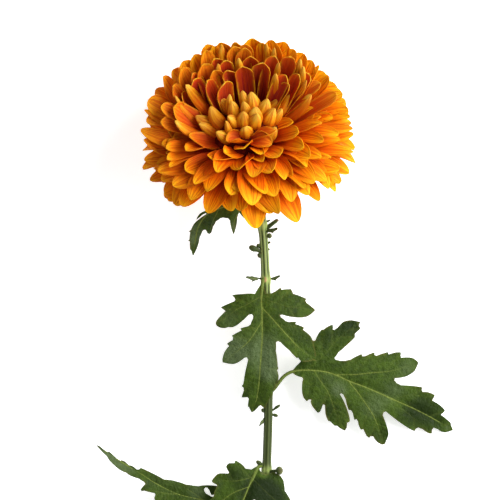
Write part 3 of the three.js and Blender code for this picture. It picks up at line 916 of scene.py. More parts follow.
PLACED: dict[Form, Spots] = {
    Form.POD: (
        (-4.3, 90.2, 18, 7.4), (0.6, 89.6, 18.5, 10), (13.9, 90.5, 13.5, 7.4), (-11.5, 88.2, 19, 5.6),
        (24.4, 89.6, 12.5, 7.6), (17.2, 86.1, 16.5, 8.4), (9.7, 85.7, 20, 9.6), (-3.8, 83.8, 24, 6.8),
        (-10.5, 84.1, 21.5, 7.8), (-18.6, 86.8, 15, 7), (-24.6, 90.9, 11, 6), (-22.5, 81.5, 16, 9.6),
        (-30.6, 76.2, 14.5, 8.8), (-12.4, 75.6, 27, 7.6), (-3.9, 78.2, 27.5, 9), (3.1, 80.8, 26, 10),
        (3.9, 77, 29.5, 8.8), (14.1, 80, 23.5, 8.8), (18, 79.9, 22.5, 7), (-13.6, 72.7, 28.5, 5),
        (-2.7, 69.4, 30.5, 8.4), (14.7, 69.4, 26.5, 7.4), (-28.8, 71.5, 19.5, 6.8),
        (-19, 66.4, 27.5, 8.2)),
    Form.BOAT: ((-30, 83.9, 11.5, 8.4), (24.4, 72.7, 19, 9), (7, 49.8, 38.5, 10)),
    Form.CRADLE: ((-13.5, 61.5, 29.5, 10), (12.4, 60.2, 29.5, 10.4), (14.5, 67.2, 28.5, 6.4)),
    Form.ROLLED: (
        (34.7, 88.2, 20, 7.8), (-36.2, 93.4, 24.5, 7.4), (-42.4, 72.9, 26.5, 6.4),
        (-16.1, 116.5, 17.5, 5.6), (-6.4, 108.7, 20.5, 5.4), (14.7, 99.6, 24.5, 6.2),
        (16.2, 106, 22, 5.2), (28.6, 108.1, 20.5, 7.2), (30.4, 104, 21, 6.6), (32, 96, 22, 5.8),
        (-18, 105.4, 21, 5.2), (9.1, 117.4, 17, 4.8), (13.9, 114.5, 18.5, 4.8), (-42.4, 87.3, 20.5, 5)),
    Form.WALL: (
        (6.8, 106, 20.5, 11.4), (-4.3, 104, 21.5, 10.4), (-13.9, 94.9, 24.5, 10), (20.5, 98.9, 22.5, 9.2),
        (21.7, 94, 24.5, 8.4), (0.6, 109.9, 17.5, 10.4), (-13.9, 107.4, 19, 9.4), (14.3, 109.9, 19, 9.4),
        (23.4, 109.5, 19, 10.4), (-32, 96.3, 21.5, 9.8), (-24.2, 95.9, 23.5, 8.6), (-13, 101.6, 22, 8.4),
        (-32.6, 100, 19, 8.2), (-19.8, 108.7, 18, 8.2), (-38.7, 88.9, 17.5, 9.4), (27.5, 99.5, 20.5, 8.4),
        (33.5, 100, 18.5, 8.6)),
    Form.SHOULDER: (
        (-26.2, 105.4, 19.5, 11.8), (-43.4, 80.6, 22, 13.4), (-9.3, 115.3, 16.5, 10.4),
        (-2.3, 116.9, 15.5, 10.4), (-38.7, 102.9, 17, 11.4), (-25.1, 113.2, 17, 9.6),
        (-2.9, 114.5, 17.5, 9.4), (-43.7, 93, 19, 9.8), (-50.4, 81.6, 19.5, 9.2), (40, 94.7, 18.5, 9.6),
        (49.5, 88.1, 17, 10.4), (-20.6, 101.4, 21, 9), (-50.5, 72.6, 21, 9.6)),
    Form.BLUNT: (
        (56, 79.6, 11.5, 11), (52.5, 89.4, 12.5, 12), (45, 98.7, 12.5, 12), (30.6, 111.6, 12.5, 13),
        (19, 118.3, 12.5, 12.2), (12.7, 119.2, 12.5, 12), (1.7, 120.2, 12.5, 13),
        (-17.3, 117.7, 12.5, 11.4), (-25, 116.6, 12.5, 11.2), (-37.9, 107.4, 12.5, 12.6),
        (-49.4, 98.3, 11.5, 12.4), (-58.1, 85.1, 11.5, 12.4), (7.4, 117.6, 12.5, 11),
        (-8, 118, 12.5, 10.6), (-21.5, 115.4, 12.5, 10.6), (-31.8, 111, 12.5, 11.6),
        (-44, 102.4, 9.5, 11.8), (-54, 91.6, 1, 11.8), (-59, 74, 12.5, 10.6), (25.2, 114, 12.5, 11.6),
        (35.4, 107.6, 12.5, 11), (42.4, 101.2, 10, 11), (49.2, 93.6, 9.5, 11.4), (54.8, 84.2, 6, 11.2),
        (57.6, 72.6, 9.5, 10.6)),
    Form.OVAL: (
        (-21.3, 51, 37, 14.4), (-5.6, 45.7, 41, 14.4), (-34.4, 64, 26, 11.8), (30.4, 58, 35.5, 9.6),
        (27.5, 66.7, 32.5, 10.6), (41.6, 61.8, 30, 8.6), (50.2, 65.5, 24.5, 9.4), (32, 46.9, 35, 9.6),
        (19.2, 39.4, 42.5, 9.8), (-11.4, 31.2, 45, 12.4), (-36.2, 44.4, 34.5, 12.4),
        (8.1, 31.6, 44.5, 12.4), (30.8, 34.5, 37.5, 11.4), (-10.4, 21.9, 40, 12.4), (51.4, 38.1, 23, 12),
        (59.6, 57.6, 10, 10.6), (56.4, 43.6, 15, 10.8), (-60.4, 62.4, 13.5, 10.6),
        (-60.2, 51.2, 14, 10.4), (-52, 44.2, 27, 12.4), (-33.4, 28.1, 36.5, 12.4),
        (-46.9, 51.5, 30.5, 8.4), (-47.4, 58, 27.5, 8.4), (40, 52, 32.5, 11), (46.5, 35.7, 27.5, 12),
        (-4, 57, 37.5, 11.5), (6.5, 54, 36, 10.5), (-14.5, 55, 36, 11), (-50, 39.5, 23.5, 11.4),
        (33, 31, 35.5, 11.2), (44.5, 34.5, 29, 10.6), (43, 38.5, 31, 13), (36.5, 38, 35.5, 12.4),
        (50.5, 45.5, 25.5, 13.6), (33.8, 52.5, 36, 12.8)),
    Form.POINTED: (
        (24.2, 41.9, 39.5, 9.6), (39.2, 27.7, 30.5, 10.4), (48.5, 32.9, 24.5, 10.4), (60, 49.6, 11, 12.2),
        (58.9, 65.8, 13, 9.4), (39.2, 105, 12.5, 8.6), (-60.2, 79.7, 12.5, 7.6),
        (-62.2, 68.1, 13.5, 11.4), (-61, 56.5, 14, 11), (-61, 46.2, 14.5, 11.4), (-56.8, 39.5, 18, 11.4),
        (56.9, 75.7, 12.5, 8.4), (-31.3, 37, 40.5, 10.6), (45.7, 52.2, 31, 7.6), (32.2, 46.7, 36.5, 8.4),
        (-45.6, 47, 31.5, 8.4), (58.8, 55.5, 19, 10), (58.4, 69, 16, 8), (1.9, 40.7, 46, 12.4),
        (-23.8, 32.8, 41, 12.4), (-18.8, 43.6, 42.5, 11.4)),
    Form.BROAD: (
        (-5, 22, 40.5, 13.4), (-23.5, 20.6, 37, 13.6), (-38.7, 24.8, 29.5, 14.4), (3.4, 12.1, 35.5, 15.6),
        (27.1, 15.8, 29.5, 14.6), (-7, 33, 43.5, 14), (14, 30, 41, 13.4)),
}


@dataclass
class Florets:
    """Where each of a group of florets stands and how it is shaped, as arrays of one length."""

    root: Array
    tip: Array
    width: Array
    bow: Array
    wrap: Array
    depth: Array
    taper: Array
    blunt: Array
    base: Array
    twist: Array
    roll: Array
    side: Array
    age: Array
    ripe: Array
    tone: Array


@dataclass
class Bloom:
    """The flower head: closed florets in its heart and open rays round them.

    Its own axes have u to the right, v up its face and w out of its face. The florets that show most
    have places of their own, and a spiral fills in the others. Angles are in degrees.
    """

    centre: Place = (-0.6, 57.0, 38.0)
    face_tilt: float = 45.0
    face_lean: float = 8.0
    spiral_count: int = 250
    spiral_start: int = 30
    spiral_crowd: float = 0.32
    stray_round: float = 26.0
    stray_off: float = 12.0
    pointed_share: float = 0.35
    first_ray: tuple[float, float, float] = (60.0, 36.0, 53.0)
    last_ray: float = 101.0
    heart_bias: float = 12.0
    heart_reach: float = 44.5
    heart_root: float = 8.5
    deep_root: float = 10.0
    closed_wrap: float = 80.0
    tube_wrap: float = 150.0
    first_reach: float = 46.0
    last_reach: float = 57.0
    clearance: float = 6.6
    hollow: tuple[float, float] = (58.0, 0.15)
    foot: float = 19.5
    root_stray: float = 1.6
    floret_thickness: float = 0.55
    margin_wave: float = 0.6
    base_radius: float = 21.0
    base_height: float = 15.0
    base_middle: float = 11.0
    base_arc: tuple[float, float] = (-38.0, 88.0)
    base_grid: tuple[int, int] = (16, 40)
    closed_grid: tuple[int, int] = (9, 9)
    open_grid: tuple[int, int] = (10, 5)

    def axes(self) -> Array:
        """The bloom's axes as three rows: u, v and w in the plan."""
        tilt, lean = math.radians(self.face_tilt), math.radians(self.face_lean)
        u = np.array([math.cos(lean), math.sin(lean), 0.0])
        v = np.array([-math.sin(lean) * math.cos(tilt), math.cos(lean) * math.cos(tilt), -math.sin(tilt)])
        return np.stack([u, v, np.cross(u, v)])

    def in_plan(self, points: Array) -> Array:
        """Points on the bloom's axes as points in the plan."""
        return points @ self.axes() + np.array(self.centre)

    def placed(self, form: Form) -> tuple[Array, Array]:
        """The florets of one form that have places of their own.

        Their tips have places in plan and heights over the bloom's centre.

        Args:
            form: Which form.

        Returns:
            Their tips on the bloom's axes, (n, 3), and their widths.
        """
        x, y, above, width = np.array(PLACED[form], float).T
        return np.stack([x - self.centre[0], y - self.centre[1], above], -1) @ self.axes().T, width

    def spiral(self) -> tuple[Array, Array]:
        """The rays that fill in the rest.

        Ray n stands a golden angle round from the one before it, and they crowd a little to the upper
        side: a share of the cosine is added to the angle. The angle off the axis grows so that they
        cover a sphere evenly. One whose tip would crowd a placed floret's is left out, and so is one
        on the hollow's upper side, by its angle off the axis and its rise, or one past the foot.

        Returns:
            Their tips on the bloom's axes, (n, 3), and their widths.
        """
        n = np.arange(self.spiral_start, self.spiral_start + self.spiral_count).astype(float)
        q = (n - self.spiral_start + 0.5) / self.spiral_count
        around = n * GOLDEN_ANGLE + np.radians((scatter(n, Trait.AROUND) - 0.5) * self.stray_round)
        around = around + self.spiral_crowd * np.cos(around)
        rise, aside = np.sin(around), np.cos(around)
        upper, lower = np.maximum(rise, 0), np.maximum(-rise, 0)
        at_side, at_top, at_foot = self.first_ray
        first = np.radians(1 / np.hypot(aside / at_side, rise / np.where(rise > 0, at_top, at_foot)))
        off = np.arccos(lerp(np.cos(first), math.cos(math.radians(self.last_ray)), q))
        off = off + np.radians((scatter(n, Trait.OFF) - 0.5) * self.stray_off)
        outer = self.last_reach + 5.0 * upper - 2.0 * lower - 0.5 * np.abs(aside)
        reach = lerp(self.first_reach - 2 * lower, outer, smooth(q / 0.42))
        reach = reach * (1 + (scatter(n, Trait.REACH) - 0.5) * 0.08)
        tip = np.stack([np.sin(off) * aside, np.sin(off) * rise, np.cos(off)], -1) * reach[:, None]
        taken = np.concatenate([self.placed(form)[0] for form in Form])
        gap = np.linalg.norm(tip[:, None] - taken[None], axis=2).min(axis=1)
        free = gap > self.clearance * (1 + 0.3 * lower)
        free &= (rise < self.hollow[1]) | (np.degrees(off) > self.hollow[0])
        free &= self.in_plan(tip)[:, 1] > self.foot
        width = (10.2 + 1.8 * smooth(q) + 3.2 * lower) * (1 + (scatter(n, Trait.WIDTH) - 0.5) * 0.24)
        return tip[free], width[free]

    def florets(self, tip: Array, width: Array, cuts: list[Cut]) -> Florets:
        """The florets with their tips at given places.

        How far out in the head a floret stands, q, goes from 0 to 1 by its angle off the axis, and by its
        reach past 52 mm. The roots of the heart stand closer together, and those past the deep root straight
        below the axis. The bow, the wrap and the age follow from q and from the side that a floret points
        to, each with a fixed scatter. The age is lowered on the left side, so that the florets there are
        darker: painted shade.

        Args:
            tip: Their tips on the bloom's axes, (n, 3).
            width: Their widths.
            cuts: How each is rolled and cut.

        Returns:
            Their places and shapes.
        """
        wrap, taper, blunt, depth, low, high, base, turn, own_age = np.array(
            [astuple(cut) for cut in cuts], float).T
        reach = np.linalg.norm(tip, axis=1)
        number = np.round(tip[:, 0] * 7.3 + tip[:, 1] * 3.1 + reach * 11.7)
        off = np.arccos(tip[:, 2] / reach)
        aside, rise = tip[:, 0] / (reach * np.sin(off)), tip[:, 1] / (reach * np.sin(off))
        upper, lower = np.maximum(rise, 0), np.maximum(-rise, 0)
        q = np.clip((np.degrees(off) - 34 - 20 * np.abs(aside) - 14 * lower) / 48, (reach - 52) / 12, 1)
        q = np.maximum(q, 0)

        def jitter(trait: Trait) -> Array:
            """A fixed scatter from -1 to 1 for each floret."""
            return scatter(number, trait) * 2 - 1

        in_heart = (reach < self.heart_reach) & (wrap > self.closed_wrap)
        is_open, is_tube = wrap < self.closed_wrap, wrap > self.tube_wrap
        near = 7 + 3.5 * np.sqrt(q) + 2.5 * lower * (1 - q)
        near = np.where(in_heart, self.heart_root * np.sin(off), near)
        near = np.where(low > self.deep_root, 0.0, near)
        along_axis = np.where(in_heart, high, 10 - 7 * q)
        root = np.stack([near * aside, near * rise - low * in_heart, along_axis], -1)
        stray = np.where(is_open & (base < 0.6), self.root_stray, 0)
        root[:, :2] += np.stack([jitter(Trait.ROOT_U), jitter(Trait.ROOT_V)], -1) * stray[:, None]
        inner_bow = 0.05 + 0.11 * rise - 0.05 * aside
        outer_bow = -0.07 + 0.07 * rise + 0.14 * upper - 0.03 * aside
        bow = np.where(is_tube, 0.15, lerp(inner_bow, outer_bow, smooth(q)) + 0.05 * jitter(Trait.BOW))
        flatter = (1 - 0.3 * smooth(q)) * (1 + 0.3 * rise) * (1 + 0.22 * jitter(Trait.WRAP))
        bright_side = np.where(aside > 0, 0.7, 0.6) * np.abs(aside) * smooth(1 - 2.2 * upper)
        age = smooth(1.5 * q + 0.8 * lower + bright_side + 0.2 * jitter(Trait.AGE))
        # Lowering the age darkens the florets a little on the upper side, and more on the left as painted
        # shade, away from the light that comes from the right.
        age = age * (1 - 0.05 * upper - 0.4 * np.maximum(-aside, 0) * (1 - lower))
        age = np.where(np.isnan(own_age), age, own_age + 0.08 * jitter(Trait.AGE))
        ripe = smooth((q - 0.6) / 0.4) * (1 - smooth(2 * aside))
        ripe = np.where(is_tube & ~in_heart, 0.6, np.where(is_open, ripe, 0.9))
        return Florets(
            root, tip, width, bow, np.radians(wrap * np.where(is_open, flatter, 1)), depth, taper,
            blunt * (1 + 0.15 * jitter(Trait.BLUNT)), base, np.radians(jitter(Trait.TWIST) * turn),
            np.radians(jitter(Trait.ROLL) * turn * 0.8), jitter(Trait.SIDE) * turn * 0.004, age, ripe,
            scatter(number, Trait.TONE))

    def lines(self, florets: Florets, s: Array) -> tuple[Array, Array, Array]:
        """The florets' middle lines.

        A middle line bends from root to tip as a parabola, bowed towards or away from the face and a
        little aside. The section turns about it towards the tip.

        Args:
            florets: Their places and shapes.
            s: How far along a floret each row is, from 0 to 1.

        Returns:
            The place of each row, its direction across and its direction out of the face.
        """
        chord = florets.tip - florets.root
        length = np.linalg.norm(chord, axis=1)
        along = unit(chord)
        bias = math.radians(self.heart_bias)
        across = np.cross([0.0, -math.sin(bias), math.cos(bias)], along)
        beside = np.stack([-florets.tip[:, 1], florets.tip[:, 0], 0 * length], -1)
        across = np.where(np.linalg.norm(across, axis=1, keepdims=True) < 0.15, unit(beside), across)
        across = unit(across - (across * along).sum(1, keepdims=True) * along)
        face = np.cross(along, across)
        cos_roll, sin_roll = np.cos(florets.roll)[:, None], np.sin(florets.roll)[:, None]
        across, face = across * cos_roll + face * sin_roll, face * cos_roll - across * sin_roll
        knee = (florets.root + florets.tip) / 2 + chord * 0.12
        bow, side = (florets.bow * length * 2)[:, None], (florets.side * length * 2)[:, None]
        knee = knee - face * bow + across * side

        share = s[None, :, None]
        start, bend, end = florets.root[:, None], knee[:, None], florets.tip[:, None]
        middle = (1 - share) ** 2 * start + 2 * share * (1 - share) * bend + share**2 * end
        tangent = unit(2 * (1 - share) * (bend - start) + 2 * share * (end - bend))
        sideways = across[:, None] + 0 * tangent
        inward = np.cross(tangent, sideways)
        turn = (florets.twist[:, None] * s[None] ** 1.5)[..., None]
        return (middle, sideways * np.cos(turn) + inward * np.sin(turn),
                inward * np.cos(turn) - sideways * np.sin(turn))

    def sections(self, florets: Florets, s: Array, x: Array) -> tuple[Array, Array]:
        """The florets' cross sections.

        Across it the blade is an arc of a circle that closes round by the wrap angle, with a groove
        in its middle. The width grows from its base at the root, and past the taper it falls as
        (1 - e^blunt)^0.55, where e goes from 0 there to 1 at the tip. The margins of all but tubes wave.

        Args:
            florets: Their places and shapes.
            s: How far along a floret each row is, from 0 to 1.
            x: How far across it each column is, from -1 to 1.

        Returns:
            How far each point is across from the middle line and out of the face.
        """
        last = np.clip((s[None] - florets.taper[:, None]) / (1 - florets.taper[:, None]), 0, 1)
        narrowing = (1 - last ** florets.blunt[:, None]) ** 0.55
        growth = lerp(florets.base[:, None], 1.0, smooth(s / 0.62)[None])
        width = florets.width[:, None] * growth * narrowing
        opening = 0.25 * smooth((math.pi - florets.wrap) / 0.6)
        wrap = florets.wrap[:, None] * (1 - opening[:, None] * smooth((s - 0.6) / 0.4)[None])
        radius = (width / 2) / np.sin(np.minimum(wrap, math.pi / 2))
        angle = wrap[..., None] * x
        groove = (width * 0.05)[..., None] * np.exp(-((x / 0.3) ** 2))
        wave = np.sin(s[None, :, None] * 9 + florets.tone[:, None, None] * 40 + x * 1.5)
        wave = wave * np.abs(x) * smooth(s / 0.6)[:, None]
        deep = radius[..., None] * (1 - np.cos(angle)) * florets.depth[:, None, None] - groove
        waving = florets.wrap < math.radians(self.tube_wrap)
        return radius[..., None] * np.sin(angle), deep + self.margin_wave * wave * waving[:, None, None]

    def sheets(self, florets: Florets, grid: tuple[int, int]) -> Shape:
        """The florets as thin closed blades, thickest in the middle.

        The rows stand closer together towards the tip and end just short of it.

        Args:
            florets: Their places and shapes.
            grid: Rows of points along a floret, and points across it.

        Returns:
            All the florets in one shape, in the plan's millimetres.
        """
        rows, columns = grid
        whole = (len(florets.width), rows, columns)
        end = 0.9993 if florets.wrap.min() > math.radians(self.closed_wrap) else 0.997
        s = (1 - (1 - np.linspace(0, 1, rows)) ** 1.85) * end
        x = np.linspace(-1, 1, columns)
        middle, sideways, inward = (line[:, :, None] for line in self.lines(florets, s))
        right, deep = (gap[..., None] for gap in self.sections(florets, s, x))
        points = middle + sideways * right + inward * deep
        points = self.in_plan(points.reshape(-1, 3))
        points[:, 2] = np.maximum(points[:, 2], self.floret_thickness / 2 + 0.05)
        ripe = 1 - 0.45 * florets.ripe[:, None, None]
        sheet = sheets_of(points.reshape(*whole, 3), {
            "along": s[:, None], "across": x, "age": florets.age[:, None, None],
            "shade": s[None, :, None] ** ripe, "tone": florets.tone[:, None, None]})
        return sheet.thickened(np.broadcast_to(self.floret_thickness * (1 - 0.6 * x**2), whole).ravel())

    def bases(self) -> Shape:
        """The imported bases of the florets: an oval dome on w with a flat underside."""
        rows, sides = self.base_grid
        rise = np.radians(np.linspace(*self.base_arc, rows))
        height = self.base_middle + self.base_height * np.sin(rise)
        dome = turned(height, self.base_radius * np.cos(rise), sides)
        dome.points = self.in_plan(dome.points)
        return dome

    def build(self, plan: Plan, effects: Effects) -> None:
        """Builds the florets and their bases.

        Args:
            plan: Where the flower lies.
            effects: The shared effects.
        """
        shapes = []
        for form in Form:
            tip, width = self.placed(form)
            grid = self.closed_grid if form.value.wrap > self.closed_wrap else self.open_grid
            shapes.append(self.sheets(self.florets(tip, width, [form.value] * len(tip)), grid))
        tip, width = self.spiral()
        pointed = scatter(np.arange(len(tip)), Trait.FORM) < self.pointed_share
        cuts = [Form.POINTED.value if choice else Form.OVAL.value for choice in pointed]
        shapes.append(self.sheets(self.florets(tip, width, cuts), self.open_grid))
        shape = Shape.joined(shapes)
        plan.piece("bloom_florets", shape, FloretFinish().material(effects), Slot.FLORETS, ("bloom",))
        plan.piece("bloom_bases", self.bases(), HeartwoodFinish().material(effects), Slot.FLORETS)


@dataclass
class BractCup:
    """The green cup under the bloom, of bracts that overlap like tiles."""

    bloom: Bloom
    depth: float = 12.0
    neck: float = 2.6
    radius: float = 15.2
    body_grid: tuple[int, int] = (18, 36)
    rows: int = 4
    per_row: int = 14
    first_row: float = 0.82
    last_row: float = 0.42
    bract_length: float = 7.4
    bract_width: float = 4.8
    bract_thickness: float = 0.5
    bract_lift: float = 1.5
    bract_grid: tuple[int, int] = (7, 5)

    def outline(self, down: Array) -> Array:
        """The cup's radius at a share of the way from its rim down to its neck: a rounded funnel."""
        return lerp(self.radius, self.neck, np.clip(down, 0, 1) ** 1.9)

    def bracts(self) -> Shape:
        """The bracts.

        A bract is a small sheet that lies on the cup: it starts at its row's height and rises by its
        length, but not past the rim, and it narrows to its tip, which stands off the cup. Every row
        is half a bract further round than the one below.

        Returns:
            All of them in one shape, on the bloom's axes.
        """
        number = np.arange(self.rows * self.per_row)
        row, place = number // self.per_row, number % self.per_row
        steps, columns = self.bract_grid
        s, x = np.linspace(0, 1, steps), np.linspace(-1, 1, columns)
        low = -self.depth * lerp(self.first_row, self.last_row, row / (self.rows - 1))
        longer = 1 + 0.1 * scatter(number, Trait.BRACT_LENGTH)[:, None]
        height = np.minimum(low[:, None] + self.bract_length * s[None] * longer, -0.4)
        more = 0.6 + 0.8 * scatter(number, Trait.BRACT_LIFT)[:, None]
        lift = 0.35 + self.bract_lift * s[None] ** 2 * more
        half = self.bract_width / 2 * (1 - 0.97 * s**3) ** 0.7 * lerp(0.7, 1.0, smooth(s / 0.4))
        turn = (place + 0.5 * row) / self.per_row * 2 * math.pi
        turn = turn + (scatter(number, Trait.BRACT_PLACE) - 0.5) * 0.12
        reach = (self.outline(-height / self.depth) + lift)[..., None] - 0.35 * x**2
        angle = turn[:, None, None] + (half[None, :, None] * x) / reach
        height = np.broadcast_to(height[..., None], angle.shape)
        points = np.stack([reach * np.cos(angle), reach * np.sin(angle), height], -1)
        tone = scatter(number, Trait.BRACT_TONE)[:, None, None]
        sheet = sheets_of(points, {"along": s[:, None], "across": x, "tone": tone})
        return sheet.thickened(self.bract_thickness)

    def build(self, plan: Plan, effects: Effects) -> None:
        """Builds the cup's body and its bracts as one piece.

        Args:
            plan: Where the flower lies.
            effects: The shared effects.
        """
        rings, sides = self.body_grid
        down = np.linspace(1, 0, rings)
        whole = Shape.joined([turned(-self.depth * down, self.outline(down), sides), self.bracts()])
        whole.points = self.bloom.in_plan(whole.points)
        plan.piece("bract_cup_bracts", whole, BractFinish().material(effects), Slot.BRACTS, ("bract_cup",))


# ---------------------------------------------------------------- the stem


@dataclass(frozen=True)
class Shoot:
    """A side shoot: where on the stem it starts, which way it points, its size and what it was left as."""

    y: float
    toward: Place
    length: float
    radius: float
    form: ShootForm


@dataclass
class Stem:
    """The ridged stem, with swollen nodes and the stubs, buds and leaflets on it."""

    bloom: Bloom
    cup: BractCup
    path: tuple[Place, ...] = (
        (7.8, -202.0, 2.6), (8.7, -160.0, 5.2), (9.7, -126.0, 7.5), (10.6, -92.0, 9.7), (10.1, -50.0, 12.4),
        (9.1, -17.0, 14.6), (7.2, 14.0, 17.0), (3.9, 36.0, 23.2))
    radius: float = 2.45
    steps: int = 300
    sides: int = 40
    ridges: int = 7
    ridge_turn: float = 0.5
    ridge_depth: float = 0.2
    node_swell: float = 0.55
    nodes: tuple[float, ...] = (-158.0, -127.0, -80.0, -17.0, 14.0)
    scar: Place = (8.4, -17.2, 17.4)
    scar_radius: float = 1.3
    cut_shares: tuple[float, ...] = (0.35, 0.8, 0.97)
    cut_steps: tuple[float, ...] = (0.3, 0.1, -0.12, 0.05)
    shoot_grid: tuple[int, int] = (18, 10)
    shoot_ridges: int = 2
    leaflets: tuple[Place, ...] = ((0.4, 0.1, 0.7), (0.5, -0.6, 0.3))
    leaflet_grid: tuple[int, int] = (10, 5)
    leaflet_thickness: float = 0.35
    shoots: tuple[Shoot, ...] = (
        Shoot(15, (1, 0.2, 0.2), 4.9, 0.5, ShootForm.BUD),
        Shoot(11, (1, 0.62, 0.35), 10.5, 1.3, ShootForm.STUB),
        Shoot(10.2, (1, 0.15, 0.5), 9.2, 1.6, ShootForm.LEAFLET),
        Shoot(8, (1, -0.1, 0.3), 5.0, 1.35, ShootForm.BUD),
        Shoot(3.5, (1, 0, 0.3), 4.0, 0.6, ShootForm.BUD),
        Shoot(0, (1, -0.2, 0.3), 3.4, 0.5, ShootForm.BUD),
        Shoot(0.2, (-1, 0.45, 0.3), 5.0, 1.1, ShootForm.BUD),
        Shoot(-1.4, (-1, 0.27, 0.3), 9.6, 1.55, ShootForm.BUD),
        Shoot(-2.5, (-1, -0.5, 0.3), 4.8, 1.3, ShootForm.BUD),
        Shoot(-17.3, (-1, 0.05, 0.2), 11.3, 0.8, ShootForm.LEAFLET),
        Shoot(-17.8, (1, 0.27, 0.25), 8.6, 0.8, ShootForm.LEAFLET),
        Shoot(-94.5, (1, 0.55, 0.3), 8.0, 0.75, ShootForm.BUD),
        Shoot(-94, (1, -0.5, 0.3), 6.4, 0.85, ShootForm.BUD),
        Shoot(-92.5, (-1, -0.3, 0.2), 4.4, 1.1, ShootForm.BUD),
        Shoot(-94, (-1, -1.5, 0.2), 8.6, 0.9, ShootForm.LEAFLET),
        Shoot(-126.5, (-1, 0.6, 0.6), 7.8, 1.1, ShootForm.BUD),
        Shoot(-128, (1, 0, 0.7), 10.8, 2.5, ShootForm.ROUND),
    )

    def line(self) -> Array:
        """The stem's middle line, from the cut end to the neck of the cup, in even steps."""
        ends = np.array([[0, 0, -self.cup.depth - 8.0], [0, 0, -self.cup.depth - 0.1]])
        points = np.concatenate([np.array(self.path), self.bloom.in_plan(ends)])
        return even(spline(points, 3 * self.steps), self.steps)

    def tube(self, line: Array) -> Shape:
        """The stem itself.

        The radius is the plain radius, plus a hump at each node that falls as exp(-d^2 / 9), plus
        the ridge depth times the cosine of the number of ridges times the angle. The first rows close
        the cut end with a slightly hollow face, each a share of the radius wide and a step along Y.

        Args:
            line: The middle line.

        Returns:
            The tube, in the plan's millimetres.
        """
        angle = ring_angles(self.sides)
        swell = sum(np.exp(-((line[:, 1] - y) ** 2) / 9) for y in self.nodes)
        ridge = np.cos(self.ridges * angle + self.ridge_turn)
        radius = self.radius + self.node_swell * swell[:, None] + self.ridge_depth * ridge[None]
        radius = np.concatenate([np.array(self.cut_shares)[:, None] * radius[:1], radius])
        extra = len(self.cut_shares)
        rows = np.concatenate([np.repeat(line[:1], extra, axis=0), line])
        rows[:extra + 1, 1] += self.cut_steps
        along = np.concatenate([np.zeros(extra), np.linspace(0, 1, len(line))])
        pale = np.concatenate([[0.8, 0.8, 0.0], 0.95 * np.clip(swell, 0, 1) ** 2])
        around = angle / math.pi - 1
        tube = sweep(rows, radius, {
            "ridge": ridge, "around": around, "along": along[:, None], "node": pale[:, None]})
        away = np.linalg.norm(tube.points - np.array(self.scar), axis=1)
        tube.values["scar"] = np.exp(-((away / self.scar_radius) ** 4))
        return tube

    def shoot(self, shoot: Shoot, line: Array) -> Shape:
        """One side shoot, a stalk that bends a little towards the bloom.

        A stub ends in a dry, pinched tip, a bud swells to a rounded end, and a round bud is a ball on
        a thin stalk. A leaflet is a thin stalk with two small blades beside it.

        Args:
            shoot: Its place and size.
            line: The stem's middle line.

        Returns:
            The shoot, in the plan's millimetres.
        """
        root = line[np.abs(line[:, 1] - shoot.y).argmin()]
        toward = unit(np.array(shoot.toward, float))
        s = (1 - (1 - np.linspace(0, 1, self.shoot_grid[0])) ** 1.5)[:, None]
        tip = root + toward * shoot.length + [0, 1.2, 0]
        bend = root + toward * shoot.length * 0.6 + [0, 0.8, 0]
        middle = (1 - s) ** 2 * root + 2 * s * (1 - s) * bend + s**2 * tip
        t = s[:, 0]
        rounded = np.sqrt(np.clip(1.04 - t**6, 0.03, 1))
        ball = np.sqrt(np.clip(1 - ((t - 0.79) / 0.21) ** 2, 0.01, 1))
        profile = {
            ShootForm.STUB: lerp(1.1, 0.8, t) * np.where(t > 0.9, 0.8, 1.0),
            ShootForm.BUD: lerp(0.75, 1.25, smooth((t - 0.35) / 0.35)) * rounded,
            ShootForm.ROUND: np.maximum(ball, np.where(t < 0.7, 0.4, 0)),
            ShootForm.LEAFLET: lerp(0.75, 0.3, t),
        }[shoot.form]
        dry = smooth((t - 0.88) / 0.1) if shoot.form is ShootForm.STUB else 0.25 * smooth((t - 0.8) / 0.2)
        ridge = 0.3 * np.cos(self.shoot_ridges * ring_angles(self.shoot_grid[1])) - 0.7
        radius = shoot.radius * profile[:, None] * np.ones(self.shoot_grid)
        stalk = sweep(middle, radius, {"ridge": ridge, "along": 0.8, "dry": dry[:, None]})
        if shoot.form is not ShootForm.LEAFLET:
            return stalk
        parts = [stalk]
        for start, turn, size in self.leaflets:
            foot = root + toward * shoot.length * start
            parts.append(self.leaflet(foot, unit(toward + [0, turn, 0.1]), shoot.length * size))
        return Shape.joined(parts)

    def leaflet(self, root: Array, toward: Array, length: float) -> Shape:
        """A small blade with a wavy margin, a third as wide as it is long, folded along its middle.

        Args:
            root: Where it starts.
            toward: Which way it points.
            length: Its length.

        Returns:
            The blade, in the plan's millimetres.
        """
        rows, columns = self.leaflet_grid
        s, x = np.linspace(0, 1, rows), np.linspace(-1, 1, columns)
        half = length * 0.14 * np.sin(math.pi * (0.08 + 0.9 * s) ** 0.8) * (1 + 0.16 * np.sin(s * 16))
        side = unit(np.cross([0, 0, 1.0], toward))
        top = np.cross(toward, side)
        points = (root + toward * length * s[:, None, None] + side * (half[:, None] * x)[..., None]
                  + top * (0.35 * half[:, None] * np.abs(x) + 0.1 * length * s[:, None] ** 2)[..., None])
        sheet = sheets_of(points[None], {"ridge": -0.9 + 0.4 * (1 - np.abs(x)), "along": 0.8})
        return sheet.thickened(self.leaflet_thickness)

    def build(self, plan: Plan, effects: Effects) -> None:
        """Builds the stem and its side shoots as one piece.

        Args:
            plan: Where the flower lies.
            effects: The shared effects.
        """
        line = self.line()
        whole = Shape.joined([self.tube(line)] + [self.shoot(shoot, line) for shoot in self.shoots])
        plan.piece("stem_and_shoots", whole, StemFinish().material(effects), Slot.STEM, ("stem",))


# ---------------------------------------------------------------- the leaves

Line = tuple[tuple[float, ...], ...]


